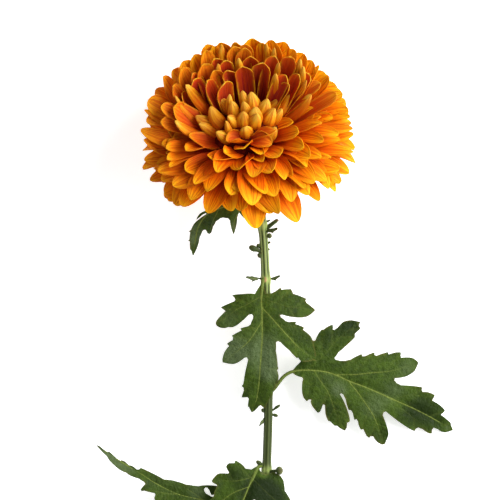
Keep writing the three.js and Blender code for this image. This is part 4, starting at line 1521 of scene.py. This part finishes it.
@dataclass(frozen=True)
class Leaf:
    """A lobed, toothed leaf as it lies.

    The midrib and the petiole are (x, y, height), from the base of the blade and from inside the stem. The
    margins run from base to tip, and left is on the left hand of someone who walks out along the midrib.
    Each side vein is how clearly it shows and its line, from the midrib towards the tip of a lobe, and clear
    is how clearly the midrib shows. A sheen and shade spot is painted light: its place, its radius, and how
    much paler, a painted sheen, above 0, or darker, a painted shade, below 0, the leaf is there.
    """

    name: str
    droop: float
    petiole: Line
    midrib: Line
    left: Line
    right: Line
    veins: tuple[tuple[float, Line], ...]
    # Soft spots of painted sheen, above 0, and painted shade, below 0.
    sheen_and_shade_spots: tuple[tuple[float, float, float, float], ...] = ()
    thickness: float = 0.45
    spacing: float = 0.9
    puff: float = 0.4
    clear: float = 1.0
    tooth_turn: float = 0.62
    tooth_gap: float = 2.0
    fold: float = 0.16
    fold_width: float = 5.0
    least_height: float = 0.4
    ease: float = 2.0
    puff_width: float = 2.4
    beside_vein: float = 0.45
    rib_steps: int = 240

    def outline(self) -> Array:
        """The leaf's outline, going round it anticlockwise.

        Every stretch of the margin is divided into short steps and swells outwards by a fortieth of
        its length, at most a fifth of a millimetre.

        Returns:
            Its corners, (n, 2).
        """
        base, tip = np.array(self.midrib[0][:2]), np.array(self.midrib[-1][:2])
        corners = np.concatenate([[base], np.array(self.right), [tip], np.array(self.left)[::-1]])
        following = np.roll(corners, -1, axis=0)
        area = (corners[:, 0] * following[:, 1] - following[:, 0] * corners[:, 1]).sum()
        if area < 0:
            corners = corners[::-1]
            following = np.roll(corners, -1, axis=0)
        stretch = following - corners
        size = np.linalg.norm(stretch, axis=1)
        steps = np.maximum(np.round(size / self.spacing).astype(int), 1)
        which = np.repeat(np.arange(len(corners)), steps)
        share = (np.arange(len(which)) - np.repeat(np.cumsum(steps) - steps, steps)) / steps[which]
        outward = np.stack([stretch[:, 1], -stretch[:, 0]], -1) / size[:, None]
        swell = np.minimum(size / 40, 0.2)[which] * 4 * share * (1 - share)
        return corners[which] + share[:, None] * stretch[which] + swell[:, None] * outward[which]

    def rib(self) -> Array:
        """The midrib's line, (m, 3)."""
        return spline(np.array(self.midrib), self.rib_steps)

    def teeth(self, veins: list[Array]) -> list[Array]:
        """Small veins, from the nearest vein to each tooth of the margin.

        A tooth is a corner of the margin where the sine of its turn passes the tooth turn. Its vein
        leaves the nearest vein about as far back as the tooth is away, so that it runs out at a slant.

        Args:
            veins: The midrib and side veins, each in even steps.

        Returns:
            Each small vein as a line of two points.
        """
        found = []
        for margin, way in ((np.array(self.left), 1.0), (np.array(self.right), -1.0)):
            before, after = margin[1:-1] - margin[:-2], margin[2:] - margin[1:-1]
            bend = way * (before[:, 0] * after[:, 1] - before[:, 1] * after[:, 0])
            bend /= np.linalg.norm(before, axis=1) * np.linalg.norm(after, axis=1)
            for tooth in margin[1:-1][bend < -self.tooth_turn]:
                gaps = [np.linalg.norm(vein - tooth, axis=1) for vein in veins]
                nearest = int(np.argmin([gap.min() for gap in gaps]))
                away = gaps[nearest].min()
                if away > self.tooth_gap:
                    start = veins[nearest][max(0, int(gaps[nearest].argmin() - 0.8 * away))]
                    found.append(np.stack([start, lerp(start, tooth, 0.94)]))
        return found

    def heights(self, points: Array) -> Array:
        """The height of the blade's middle surface.

        It is the height of the nearest point of the midrib, plus a fold that rises with the distance
        up to its width, less the droop times the square of the distance. Near the table it eases out
        instead of going below it.

        Args:
            points: Places in plan, (n, 2).

        Returns:
            n heights.
        """
        rib = self.rib()
        gaps = np.linalg.norm(points[:, None] - rib[None, :, :2], axis=2)
        away = gaps.min(axis=1)
        folded = self.fold * np.minimum(away, self.fold_width)
        height = rib[gaps.argmin(axis=1), 2] + folded - self.droop * away**2
        over = height - self.least_height - self.ease
        eased = self.least_height + self.ease * np.exp(np.minimum(over, 0) / self.ease)
        return np.where(height > self.least_height + self.ease, height, eased)

    def veins_in_plan(self) -> list[Array]:
        """The midrib, in steps of about a millimetre, and the side veins, as lines in plan."""
        rib = self.rib()
        millimetres = int(np.linalg.norm(np.diff(rib, axis=0), axis=1).sum())
        side_veins = [even(spline(np.array(vein), 40), 30) for _, vein in self.veins]
        return [even(rib[:, :2], millimetres), *side_veins]

    def both_sides(self, vein: Array) -> Array:
        """Places along a vein and close beside it, so that the blade's mesh follows it.

        Args:
            vein: The vein, in even steps, (n, 2).

        Returns:
            The places on the vein, then those on its left and on its right.
        """
        way = unit(np.gradient(vein, axis=0))
        beside = self.beside_vein * np.stack([-way[:, 1], way[:, 0]], -1)
        return np.concatenate([vein, vein[::-1] + beside[::-1], vein - beside])

    def mesh(self, main: list[Array], small: list[Array]) -> tuple[Array, Array]:
        """The blade's mesh in plan: places in even rows, along the veins and on the outline.

        The even rows are offset by half a step. A place too near to a vein or to the outline is left
        out, so that no face is a sliver.

        Args:
            main: The midrib and side veins.
            small: The small veins.

        Returns:
            The places, (n, 2), and the triangles between them.
        """
        outline = self.outline()
        low, high = outline.min(axis=0), outline.max(axis=0)
        row_places = np.arange(low[1], high[1], self.spacing * math.sqrt(0.75))
        x, y = np.meshgrid(np.arange(low[0] - self.spacing, high[0], self.spacing), row_places)
        x = x + (np.arange(len(row_places)) % 2)[:, None] * self.spacing / 2
        inner = np.stack([x.ravel(), y.ravel()], -1)
        rows = [self.both_sides(vein) for vein in main] + [even(vein, 8) for vein in small]
        for at, row in enumerate(rows):
            for other in main[:at]:
                row = row[distance_to_line(row, other) > self.spacing * 0.6]
            if len(row) > 1:
                inner = np.concatenate([inner[distance_to_line(inner, row) > self.spacing * 0.6], row])
        inner = inner[is_inside(inner, outline)]
        closed = np.concatenate([outline, outline[:1]])
        inner = inner[distance_to_line(inner, closed) > self.spacing * 0.45]
        around = np.arange(len(outline))
        edges = np.stack([around, np.roll(around, -1)], -1)
        corners = [Vector(place) for place in np.concatenate([outline, inner]).tolist()]
        found = delaunay_2d_cdt(corners, edges.tolist(), [], 1, 1e-5)
        return np.array([tuple(place) for place in found[0]]), np.array(found[2])

    def blade(self) -> Shape:
        """The blade, lifted from plan to its height.

        It rises between its veins by the puff, as 1 - exp(-(d / puff width)^2), where d is the
        distance to the nearest vein, and its margin waves by a quarter of a millimetre.

        Returns:
            The closed blade, in the plan's millimetres.
        """
        main = self.veins_in_plan()
        small = self.teeth(main)
        points, triangles = self.mesh(main, small)
        x, y = points.T
        outline = self.outline()
        gaps = np.array([distance_to_line(points, vein) for vein in main])
        small_gap = np.min([distance_to_line(points, vein) for vein in small], axis=0)
        margin_gap = distance_to_line(points, np.concatenate([outline, outline[:1]]))
        left = np.array([
            np.linalg.norm(points - vein[-1], axis=1) / np.ptp(vein, axis=0).max() for vein in main])
        strength = np.array([self.clear] + [clear for clear, _ in self.veins])[:, None]
        clear = strength * np.clip(2.2 * left, 0.15, 1)
        drawn = (clear * np.exp(-((gaps / (0.22 + 0.1 * clear)) ** 2))).max(axis=0)
        # Painted sheen and shade: each spot makes the leaf paler, a painted sheen, or darker, a painted
        # shade.
        tone = sum(amount * np.exp(-((points - [spot_x, spot_y]) ** 2).sum(axis=1) / radius**2)
                   for spot_x, spot_y, radius, amount in self.sheen_and_shade_spots)
        wave = 0.25 * np.sin(x * 0.55 + y * 0.35) * np.exp(-margin_gap / 3)
        wave += 0.09 * np.sin(1.7 * x + 0.8 * y) * np.sin(1.5 * y - 0.9 * x + 2)
        gap = np.minimum(gaps.min(axis=0), small_gap * 1.3 + 0.3)
        height = self.heights(points) + self.puff * (1 - np.exp(-((gap / self.puff_width) ** 2))) + wave
        height = np.maximum(height, self.thickness / 2 + 0.05)
        worn = smooth(scatter(np.round(x / 4), Trait.LEAF_RIM) * 1.4 - 0.4)
        sheet = Shape(np.column_stack([points, height]), triangles=triangles, values={
            "vein": np.maximum(drawn, 0.1 * np.exp(-((small_gap / 0.35) ** 2))),
            "rim": np.exp(-((margin_gap / 0.45) ** 2)) * worn,
            "pale": np.clip(tone, -1, 1)})
        if sheet.normals()[:, 2].mean() < 0:
            sheet.triangles = sheet.triangles[:, ::-1]
        return sheet.thickened(self.thickness)

    def ribs(self) -> Shape:
        """The petiole and midrib as one tapering tube, and the side veins as finer ones, under the blade.

        Returns:
            The tubes, in the plan's millimetres.
        """
        steps, fine_steps, sides, fine_sides = 60, 24, 10, 6
        line = even(spline(np.array([*self.petiole, *self.midrib]), 200), steps)
        share = np.linspace(0, 1, steps + 1)
        radius = lerp(1.15, 0.4, np.minimum(share * 1.6, 1)) * np.where(share > 0.97, 0.4, 1.0)
        reached = smooth(share * 12 - 1.5)
        line[:, 2] -= (radius - 0.32) * reached
        clear = lerp(0.45, 0.75, reached)[:, None]
        tubes = [sweep(line, radius[:, None] * np.ones(sides), {"vein": clear, "back": 0.5})]
        fine = lerp(0.42, 0.2, np.linspace(0, 1, fine_steps + 1))
        for _, vein in self.veins:
            path = even(spline(np.array(vein), 60), fine_steps)
            height = self.heights(path) - fine + 0.12
            rib = np.column_stack([path, height])
            tubes.append(sweep(rib, fine[:, None] * np.ones(fine_sides), {"vein": 0.6, "back": 0.5}))
        body = Shape.joined(tubes)
        body.points[:, 2] = np.maximum(body.points[:, 2], 0.02)
        return body

    def build(self, plan: Plan, finish: Material) -> None:
        """Builds the leaf as one piece.

        Args:
            plan: Where the flower lies.
            finish: The leaves' material.
        """
        shape = Shape.joined([self.blade(), self.ribs()])
        plan.piece(f"{self.name}_blade", shape, finish, Slot.LEAF, (self.name,))


UNDER_BLOOM_LEAF = Leaf(
    "leaf_under_bloom",
    droop=0.012,
    petiole=((6.6, 17.6, 17.2),),
    midrib=(
        (2.5, 18.2, 19), (-3.5, 22, 21.5), (-10.5, 25, 23), (-17.5, 24, 21.6), (-24, 21, 17.8),
        (-29.5, 14, 11.5), (-31.5, 6, 6), (-33, -3.5, 1)),
    right=(
        (0, 24), (-6, 27.5), (-14, 29.5), (-21, 27), (-24.5, 24), (-25.4, 22.5), (-27.6, 21.8),
        (-29.5, 20.3), (-31, 17.5), (-27, 20.6), (-25.2, 21.4), (-25, 20.7), (-31.3, 16.1), (-32.5, 14.8),
        (-34.1, 11.5), (-35.3, 10.7), (-34.5, 10.2), (-35, 6), (-35.8, 5.4), (-34.8, 5.1), (-34.6, 0.5),
        (-33.8, -0.4)),
    left=(
        (-2.5, 17.5), (-6.5, 21.9), (-7.3, 19), (-8, 13.2), (-9.5, 9), (-10.8, 12.8), (-11.5, 16.9),
        (-12.5, 18.3), (-15.4, 18.7), (-17.1, 18.2), (-19.6, 16.4), (-21.2, 13.6), (-22.3, 10.2),
        (-23.3, 9.4), (-24.4, 9.7), (-25.4, 11.7), (-26.5, 11.7), (-27.5, 10.9), (-29.1, 7.3),
        (-30.2, 2.3)),
    veins=((0.5, ((-6, 22.5), (-8.5, 18), (-9.4, 11))), (0.4, ((-17.5, 24), (-21, 17), (-23.2, 11)))),
    # Painted sheen and shade spots.
    sheen_and_shade_spots=((-33, 7, 6, 1.0), (-31, 14, 4, 0.3), (-9.6, 13.5, 3.5, 1.0), (-23, 16, 4, -0.4)),
)

CENTRE_LEAF = Leaf(
    "leaf_centre",
    droop=0.0062,
    petiole=((8.6, -14.5, 14.8),),
    midrib=(
        (7.2, -18.5, 17.9), (6.6, -26, 20), (6.9, -37.5, 22.3), (7, -50, 22.8), (6.2, -62, 21.6),
        (5.2, -76, 18.5), (3.6, -86.5, 15), (1, -93.5, 12.2)),
    right=(
        (2.8, -25.2), (-5, -25.3), (-10.3, -26), (-9, -27.3), (-8.4, -28.6), (-9.2, -29.6), (-16.7, -33),
        (-14, -35.1), (-19.2, -40.5), (-19.7, -42.3), (-19, -43.6), (-17, -44.7), (-14.5, -44.9),
        (-12.5, -44.3), (-10, -44.4), (-7.5, -43.2), (-0.8, -37.2), (0.8, -36.7), (1.8, -37.6),
        (1.7, -39.4), (0.3, -42.8), (-1.2, -43.8), (-5.5, -45), (-4.8, -46.2), (-10.4, -49.2),
        (-9.8, -50.4), (-9.9, -51.6), (-13.2, -53.8), (-12, -55.2), (-14.6, -58.3), (-15.9, -62.6),
        (-15.7, -64.6), (-10, -65.6), (-7.5, -65), (-3, -61.8), (-1.8, -61.7), (-1.1, -63), (-3.9, -77),
        (-4.8, -78.3), (-3.7, -79.2), (-3.6, -81), (-4.8, -84.8), (-1.5, -84.6), (-0.6, -85.6), (-1.3, -90),
        (-0.5, -90.6)),
    left=(
        (9, -25), (10.5, -25.2), (12.5, -24.8), (14.5, -23.9), (17.6, -21.6), (18, -22.9), (23.5, -22.5),
        (24.8, -25.2), (32.3, -28), (31.9, -29.3), (32.6, -30.5), (37.6, -34.6), (34.6, -37.3),
        (32.5, -38.4), (30, -38.8), (24, -38.5), (18.5, -37.1), (17.2, -37.5), (17.8, -38.6), (20.5, -40.9),
        (22.5, -41.4), (26.6, -41.1), (26, -42.5), (31, -44.5), (30.5, -45.8), (34.9, -49.6), (36.6, -54),
        (38.4, -64.2), (36.5, -63.4), (31, -64.4), (29, -63.6), (27.6, -61.8), (26.9, -62.2), (22.5, -57.5),
        (17.5, -53), (16.2, -52.4), (15, -52.8), (14.9, -58), (15.9, -66.8), (16.4, -68), (15.6, -69),
        (16.5, -72.5), (16.2, -75), (15.2, -76.5), (12, -84.5), (10.6, -86.5), (8.4, -91.2), (6.2, -89.4),
        (5.2, -89.8), (2.6, -92.7)),
    veins=(
        (0.28, ((6.6, -26.5), (-2, -31.5), (-8, -34.5), (-15, -40))),
        (0.18, ((6.8, -27.5), (12, -29.5), (20, -32), (30, -33.5))),
        (0.8, ((6.9, -33), (12, -38.5), (20, -47.5), (27, -55), (33, -60.5))),
        (0.6, ((6.9, -41), (4, -45.5), (0, -51.5), (-4, -55.5), (-10, -60))),
        (0.1, ((5.8, -66), (1, -74), (-2.8, -79))), (0.1, ((6.2, -61), (11, -68.5), (14, -74.5)))),
    # Painted sheen and shade spots.
    sheen_and_shade_spots=(
        (-10, -59, 8, 1.3), (8, -58, 11, 0.9), (12, -70, 6, 1.0), (-12, -40, 8, 0.5), (0, -80, 5, -0.5),
        (24, -34, 10, -0.3), (22, -43, 7, -0.4), (31, -52, 7, -0.4), (-4, -29, 5, -0.2)),
)

RIGHT_LEAF = Leaf(
    "leaf_right",
    droop=0.0035,
    petiole=((10.5, -83, 10.4), (13.8, -80, 11.2), (17, -75.8, 11.9), (20, -72.4, 12.2)),
    midrib=(
        (24, -70.2, 12.4), (30, -69.3, 12.4), (37, -69.4, 12.3), (45, -70.5, 11.9), (50, -72.3, 11.5),
        (57, -75.5, 11), (65, -78.5, 10.3), (75, -82.7, 8.9), (85, -87.3, 7.2), (95, -91.8, 5),
        (105, -97, 2.9), (112, -101, 1.5), (117.4, -104.2, 0.6)),
    left=(
        (29, -64.5), (31, -60), (36, -53.5), (36.2, -52), (37, -52.4), (37.8, -51.8), (39.4, -48.3),
        (41.3, -45.9), (42.5, -45.9), (44, -44.6), (47.6, -43), (47.9, -44.3), (47.6, -45.8), (48.6, -46.2),
        (50.5, -44.9), (53.5, -41.6), (55.5, -40.8), (58.3, -40.5), (63.9, -41.6), (63, -42.8), (62.9, -44),
        (63.8, -45.2), (60.4, -48.4), (60.6, -50.3), (51, -59), (48.6, -62.3), (49.4, -63.3), (52, -63.9),
        (55, -63.9), (58, -63.2), (64.3, -60), (64.8, -61.3), (66.5, -61.2), (71.8, -59), (71.8, -60.5),
        (73, -61), (79.5, -58.9), (80, -60.3), (84.5, -59), (87.2, -59.1), (86.9, -60.8), (87.2, -62.2),
        (92, -62), (94.5, -62.6), (96.8, -64.4), (97.3, -65.3), (95, -70), (92.5, -71.8), (89.5, -73.2),
        (83.6, -74), (83.2, -75.2), (84.8, -76.8), (87, -78), (99.4, -79.2), (99.3, -81), (99.8, -82),
        (102.5, -82.1), (105, -82.8), (106.8, -83.9), (105.3, -87), (109.5, -89.5), (111.5, -91.2),
        (112.8, -93), (110.3, -95.3), (116.2, -100), (116.3, -101.5)),
    right=(
        (26, -72), (30, -73.4), (30.6, -74.4), (30.1, -76), (30, -82), (30.8, -85), (32.6, -87.2),
        (34, -86.2), (35.2, -86.2), (34.9, -87.6), (35.7, -89.8), (39.1, -93.9), (40.5, -93.2),
        (41.9, -89.4), (42.6, -89), (43.3, -89.8), (43.6, -95), (45, -98.5), (46.5, -99), (48.6, -101.2),
        (50.3, -101.4), (52.2, -103), (54.8, -104.2), (55.8, -102.5), (56, -99.8), (57.6, -98.9),
        (57.3, -96), (56.4, -93), (54, -87), (51.8, -83.2), (52.6, -82.6), (53.8, -83.4), (55, -85.8),
        (56.9, -92.2), (58.3, -92.4), (59.3, -94), (60.3, -98), (61.5, -97.5), (62.2, -98.7),
        (62.8, -101.3), (64, -103.7), (65.5, -103.4), (67.3, -107.3), (68.8, -108.4), (69.7, -107.5),
        (71.2, -107.6), (72.2, -109.5), (74, -111.3), (76.2, -112.5), (77.8, -112.2), (80, -106.8),
        (79.8, -104.5), (76.6, -95.2), (77, -93.8), (78.3, -93.1), (89, -101.3), (95, -104.7),
        (95.8, -103.3), (97.2, -102.6), (99.5, -103.5), (103.5, -106.1), (105.2, -106.2), (105.2, -104),
        (106.2, -102.7), (108.5, -103.6), (110.5, -105), (113, -105.5)),
    veins=(
        (0.12, ((33, -69), (42.7, -60.5), (50.5, -51.7), (60, -43.5))),
        (0.6, ((48, -71.6), (60, -71.8), (70, -70.8), (80, -70), (91, -67.5))),
        (0.7, ((56.5, -75.2), (62, -82), (67, -89), (72, -97), (76, -108))),
        (0.4, ((36.5, -69.2), (41, -76), (45, -82), (48, -90), (51.5, -100))),
        (0.1, ((78, -84), (90, -93.5), (103, -104))), (0.1, ((82, -85.8), (93, -83.8), (104, -85.5)))),
    # Painted sheen and shade spots.
    sheen_and_shade_spots=(
        (51, -81, 5, 1.0), (72, -91, 8, 0.6), (93, -92, 9, -0.5), (85, -82, 8, 0.6), (44, -74, 6, 0.3),
        (91, -68, 6, 0.5), (57, -43, 9, -0.9), (43, -94, 10, -0.7), (75, -107, 8, -0.5),
        (104, -94, 14, -0.7), (43, -51, 8, -0.5), (114, -102.5, 2.5, 0.9)),
)

LOW_CENTRE_LEAF = Leaf(
    "leaf_low_centre",
    droop=0.006,
    petiole=((7.8, -124, 7.8),),
    midrib=(
        (4.8, -125.2, 10.8), (1.4, -132, 13.8), (-1.8, -139, 15.4), (-4.8, -146.5, 16),
        (-8.5, -156.5, 14.8), (-12.5, -167.5, 11.8), (-16.5, -179, 7.4), (-21, -193.5, 0.8)),
    right=(
        (3.5, -124.9), (0.8, -126.5), (-2.5, -126.1), (-4.6, -123.6), (-8.5, -121.3), (-9, -122.9),
        (-12.1, -122.9), (-13.1, -123.6), (-13.8, -124.9), (-12.1, -128), (-12.5, -128.9), (-17.5, -128.7),
        (-19, -129.3), (-20, -130.3), (-22, -133), (-21.7, -133.8), (-19, -135.2), (-19, -136.2),
        (-20, -138), (-21, -142), (-26.5, -147), (-27.5, -148.6), (-29.5, -149.8), (-30.5, -151),
        (-29.5, -152.8), (-27.5, -153.2), (-25, -154.5), (-22, -153.6), (-16, -150.5), (-9, -146),
        (-8.6, -147.5), (-10.5, -150.5), (-14, -153.5), (-16, -154), (-18, -156.5), (-21.5, -158),
        (-22, -159.5), (-25, -161.5), (-26.5, -164.5), (-28.8, -165.8), (-29, -167.5), (-31.5, -170),
        (-31.5, -173), (-33, -176.5), (-30, -177.6), (-28, -176.6), (-25.5, -177), (-21, -174),
        (-17.5, -170.5), (-16.5, -171), (-18, -174), (-21.5, -179), (-21.3, -181.5), (-23.8, -184),
        (-24, -187), (-23, -190)),
    left=(
        (5.8, -127.2), (7, -128.6), (9.5, -129.4), (11.8, -129), (13.2, -127.9), (17.5, -130.1),
        (19.3, -133), (20, -138.8), (24, -145.5), (25.6, -146.2), (25.2, -148), (26.8, -150), (26.5, -153),
        (24.5, -154.2), (22, -153.4), (19.5, -153.5), (11.5, -149.5), (2.5, -143.4), (1.6, -144),
        (2.5, -147), (4.5, -151), (6.5, -152.6), (7.5, -155.4), (10, -156.5), (10.5, -158.5), (13.5, -161),
        (13.5, -163.5), (15.6, -165), (15, -168), (16.9, -170.5), (16.5, -174.5), (14, -175.2),
        (12, -173.6), (9, -173.5), (1, -168), (-5.6, -161.4), (-6.4, -162.2), (-5.8, -166), (-6, -170.5),
        (-7.8, -173), (-7.6, -176), (-9.8, -178), (-10, -181), (-12.5, -183.5), (-12.6, -186), (-17, -191)),
    veins=(
        (0.3, ((2.5, -130.5), (-8, -133), (-18, -132.5))),
        (0.5, ((-1, -136.4), (-10, -140), (-17, -145), (-27, -151))),
        (0.1, ((2, -132), (11, -141), (23, -151))), (0.4, ((-4.5, -147), (5, -158), (14, -171))),
        (0.4, ((-6, -150), (-17, -162), (-29.5, -174)))),
    # Painted sheen and shade spots.
    sheen_and_shade_spots=(
        (8, -137, 9, -1.1), (15, -146, 10, -0.9), (-11, -130, 6, -0.8), (-17, -134, 5, 0.5),
        (-1, -141, 8, -0.8), (7.5, -128.6, 2.5, 1.2), (-10, -165, 14, 0.3)),
)

LOW_LEFT_LEAF = Leaf(
    "leaf_low_left",
    droop=0.0065,
    petiole=((7, -157, 5),),
    midrib=(
        (0, -153.7, 5.8), (-8, -150, 6.2), (-18.5, -146.5, 6.4), (-29, -144, 6.4), (-40.5, -141.3, 7),
        (-53, -135.5, 8.4), (-64.5, -128, 10.6), (-76, -121, 13.6), (-88.5, -112.2, 17.5)),
    right=(
        (-6, -147.5), (-12.5, -143.6), (-22.4, -142.4), (-25.5, -140.6), (-26.3, -139.3), (-26.5, -138),
        (-25.7, -137.1), (-24.6, -137.3), (-23.5, -138.6), (-22.2, -141.6), (-20.5, -141), (-17.5, -138.8),
        (-17.5, -136.9), (-19.5, -136.3), (-25.2, -135.8), (-30, -136.4), (-33, -136), (-37, -135.4),
        (-45, -132.9), (-49.5, -132.4), (-62.9, -125.6), (-64, -126.5), (-65.3, -126.5), (-68, -124.4),
        (-69.8, -124.1), (-72.3, -121.8), (-74, -121.1), (-75.3, -122), (-80.6, -116.4), (-81.8, -116.1),
        (-82.4, -117), (-86.3, -113)),
    left=(
        (-7, -155), (-11, -156.6), (-13, -158.5), (-16, -157.8), (-20, -158), (-25.5, -152), (-27, -154.5),
        (-30, -157.5), (-31, -160.5), (-34, -162.5), (-36, -166), (-38.5, -166.3), (-40.5, -168.5),
        (-43, -168.8), (-42.6, -165.5), (-44.5, -162.5), (-44, -160), (-46.8, -158), (-46, -154.5),
        (-46.5, -151), (-48.5, -146.5), (-51, -147.5), (-54, -146.6), (-55.3, -143), (-54.6, -141.3),
        (-55, -140.3), (-61, -138.8), (-62.5, -139.1), (-63.1, -138.3), (-60.4, -134.9), (-61, -133.8),
        (-64, -131.9), (-69.3, -129.9), (-71.5, -128.3), (-74.8, -126.8), (-80.8, -121.3), (-82.3, -118.8)),
    veins=(
        (0.4, ((-29, -144), (-36, -153), (-42, -165))), (0.3, ((-8, -150), (-14, -153), (-18.5, -157))),
        (0.3, ((-40.5, -141.3), (-48, -140.5), (-58, -138.6))),
        (0.3, ((-27, -144.4), (-33, -140), (-40, -136)))),
    # Painted sheen and shade spots.
    sheen_and_shade_spots=((-82, -117, 9, 1.0), (-71, -125.5, 6, 0.6), (-30, -140, 6, 0.7), (-50, -128, 14, 0.4)),
    clear=0.3,
)

LEAVES = (UNDER_BLOOM_LEAF, CENTRE_LEAF, RIGHT_LEAF, LOW_CENTRE_LEAF, LOW_LEFT_LEAF)


# ---------------------------------------------------------------- the studio


@dataclass
class Studio:
    """A pale table under soft light, and a camera that looks straight down on the flower.

    Places and sizes are in metres, the lens and its sensor in millimetres and powers in watts.
    """

    camera_height: float = 2.73
    lens: float = 339.5
    sensor: float = 36.0
    table_half: float = 30.0
    table_colour: Colour = (0.90, 0.90, 0.90)
    table_glow: float = 0.6
    key: Place = (1.05, 0.40, 0.85)
    key_power: float = 38.0
    fill: Place = (-0.6, -0.3, 1.2)
    fill_power: float = 2.0
    light_size: float = 1.2
    aim: Place = (0.0, 0.03, 0.02)
    surroundings: float = 0.36

    def table(self) -> None:
        """Builds the table as one plain plate, not part of the flower."""
        mesh = bpy.data.meshes.new("table")
        h = self.table_half
        mesh.from_pydata([(-h, -h, 0), (h, -h, 0), (h, h, 0), (-h, h, 0)], [], [(0, 1, 2, 3)])
        shader, material, principled = Shader.material("table_white")
        shader.fill(principled, {
            "Base Color": self.table_colour,
            "Roughness": 0.7,
            "Emission Color": (1.0, 1.0, 1.0),
            "Emission Strength": self.table_glow})
        mesh.materials.append(material)
        table = bpy.data.objects.new("table", mesh)
        bpy.context.scene.collection.objects.link(table)

    def light(self, name: str, place: Place, power: float) -> None:
        """Hangs a square soft light that faces the flower.

        Args:
            name: Its name.
            place: Where it hangs.
            power: Its power.
        """
        lamp = bpy.data.lights.new(name, "AREA")
        lamp.size = self.light_size
        lamp.energy = power
        holder = bpy.data.objects.new(name, lamp)
        holder.location = place
        holder.rotation_euler = (Vector(self.aim) - Vector(place)).to_track_quat("-Z", "Y").to_euler()
        bpy.context.scene.collection.objects.link(holder)

    def build(self, plan: Plan) -> None:
        """Builds the table, the lights, the surroundings and the camera.

        Args:
            plan: Where the flower lies. The camera hangs over its origin.
        """
        self.table()
        self.light("key_light", self.key, self.key_power)
        self.light("fill_light", self.fill, self.fill_power)
        world = bpy.data.worlds.new("soft_white")
        world.use_nodes = True
        background = world.node_tree.nodes["Background"]
        background.inputs["Color"].default_value = (1.0, 1.0, 1.0, 1.0)
        background.inputs["Strength"].default_value = self.surroundings
        scene = bpy.context.scene
        scene.world = world
        scene.view_settings.view_transform = "Standard"
        camera = bpy.data.cameras.new("camera")
        camera.lens = self.lens
        camera.sensor_width = self.sensor
        holder = bpy.data.objects.new("camera", camera)
        holder.location = (plan.shift[0] * MM, plan.shift[1] * MM, self.camera_height)
        scene.collection.objects.link(holder)
        scene.camera = holder


def main() -> None:
    """Builds the flower piece by piece."""
    logging.basicConfig(level=logging.INFO, format="%(name)s: %(message)s")
    plan = Plan.of(leftmost=-19.0, lowest=-112.5)
    effects = Effects()
    bloom = Bloom()
    cup = BractCup(bloom)
    bloom.build(plan, effects)
    cup.build(plan, effects)
    Stem(bloom, cup).build(plan, effects)
    leaf_green = LeafFinish().material(effects)
    for leaf in LEAVES:
        leaf.build(plan, leaf_green)
    Studio().build(plan)
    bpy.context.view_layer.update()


if __name__ == "__main__":
    main()
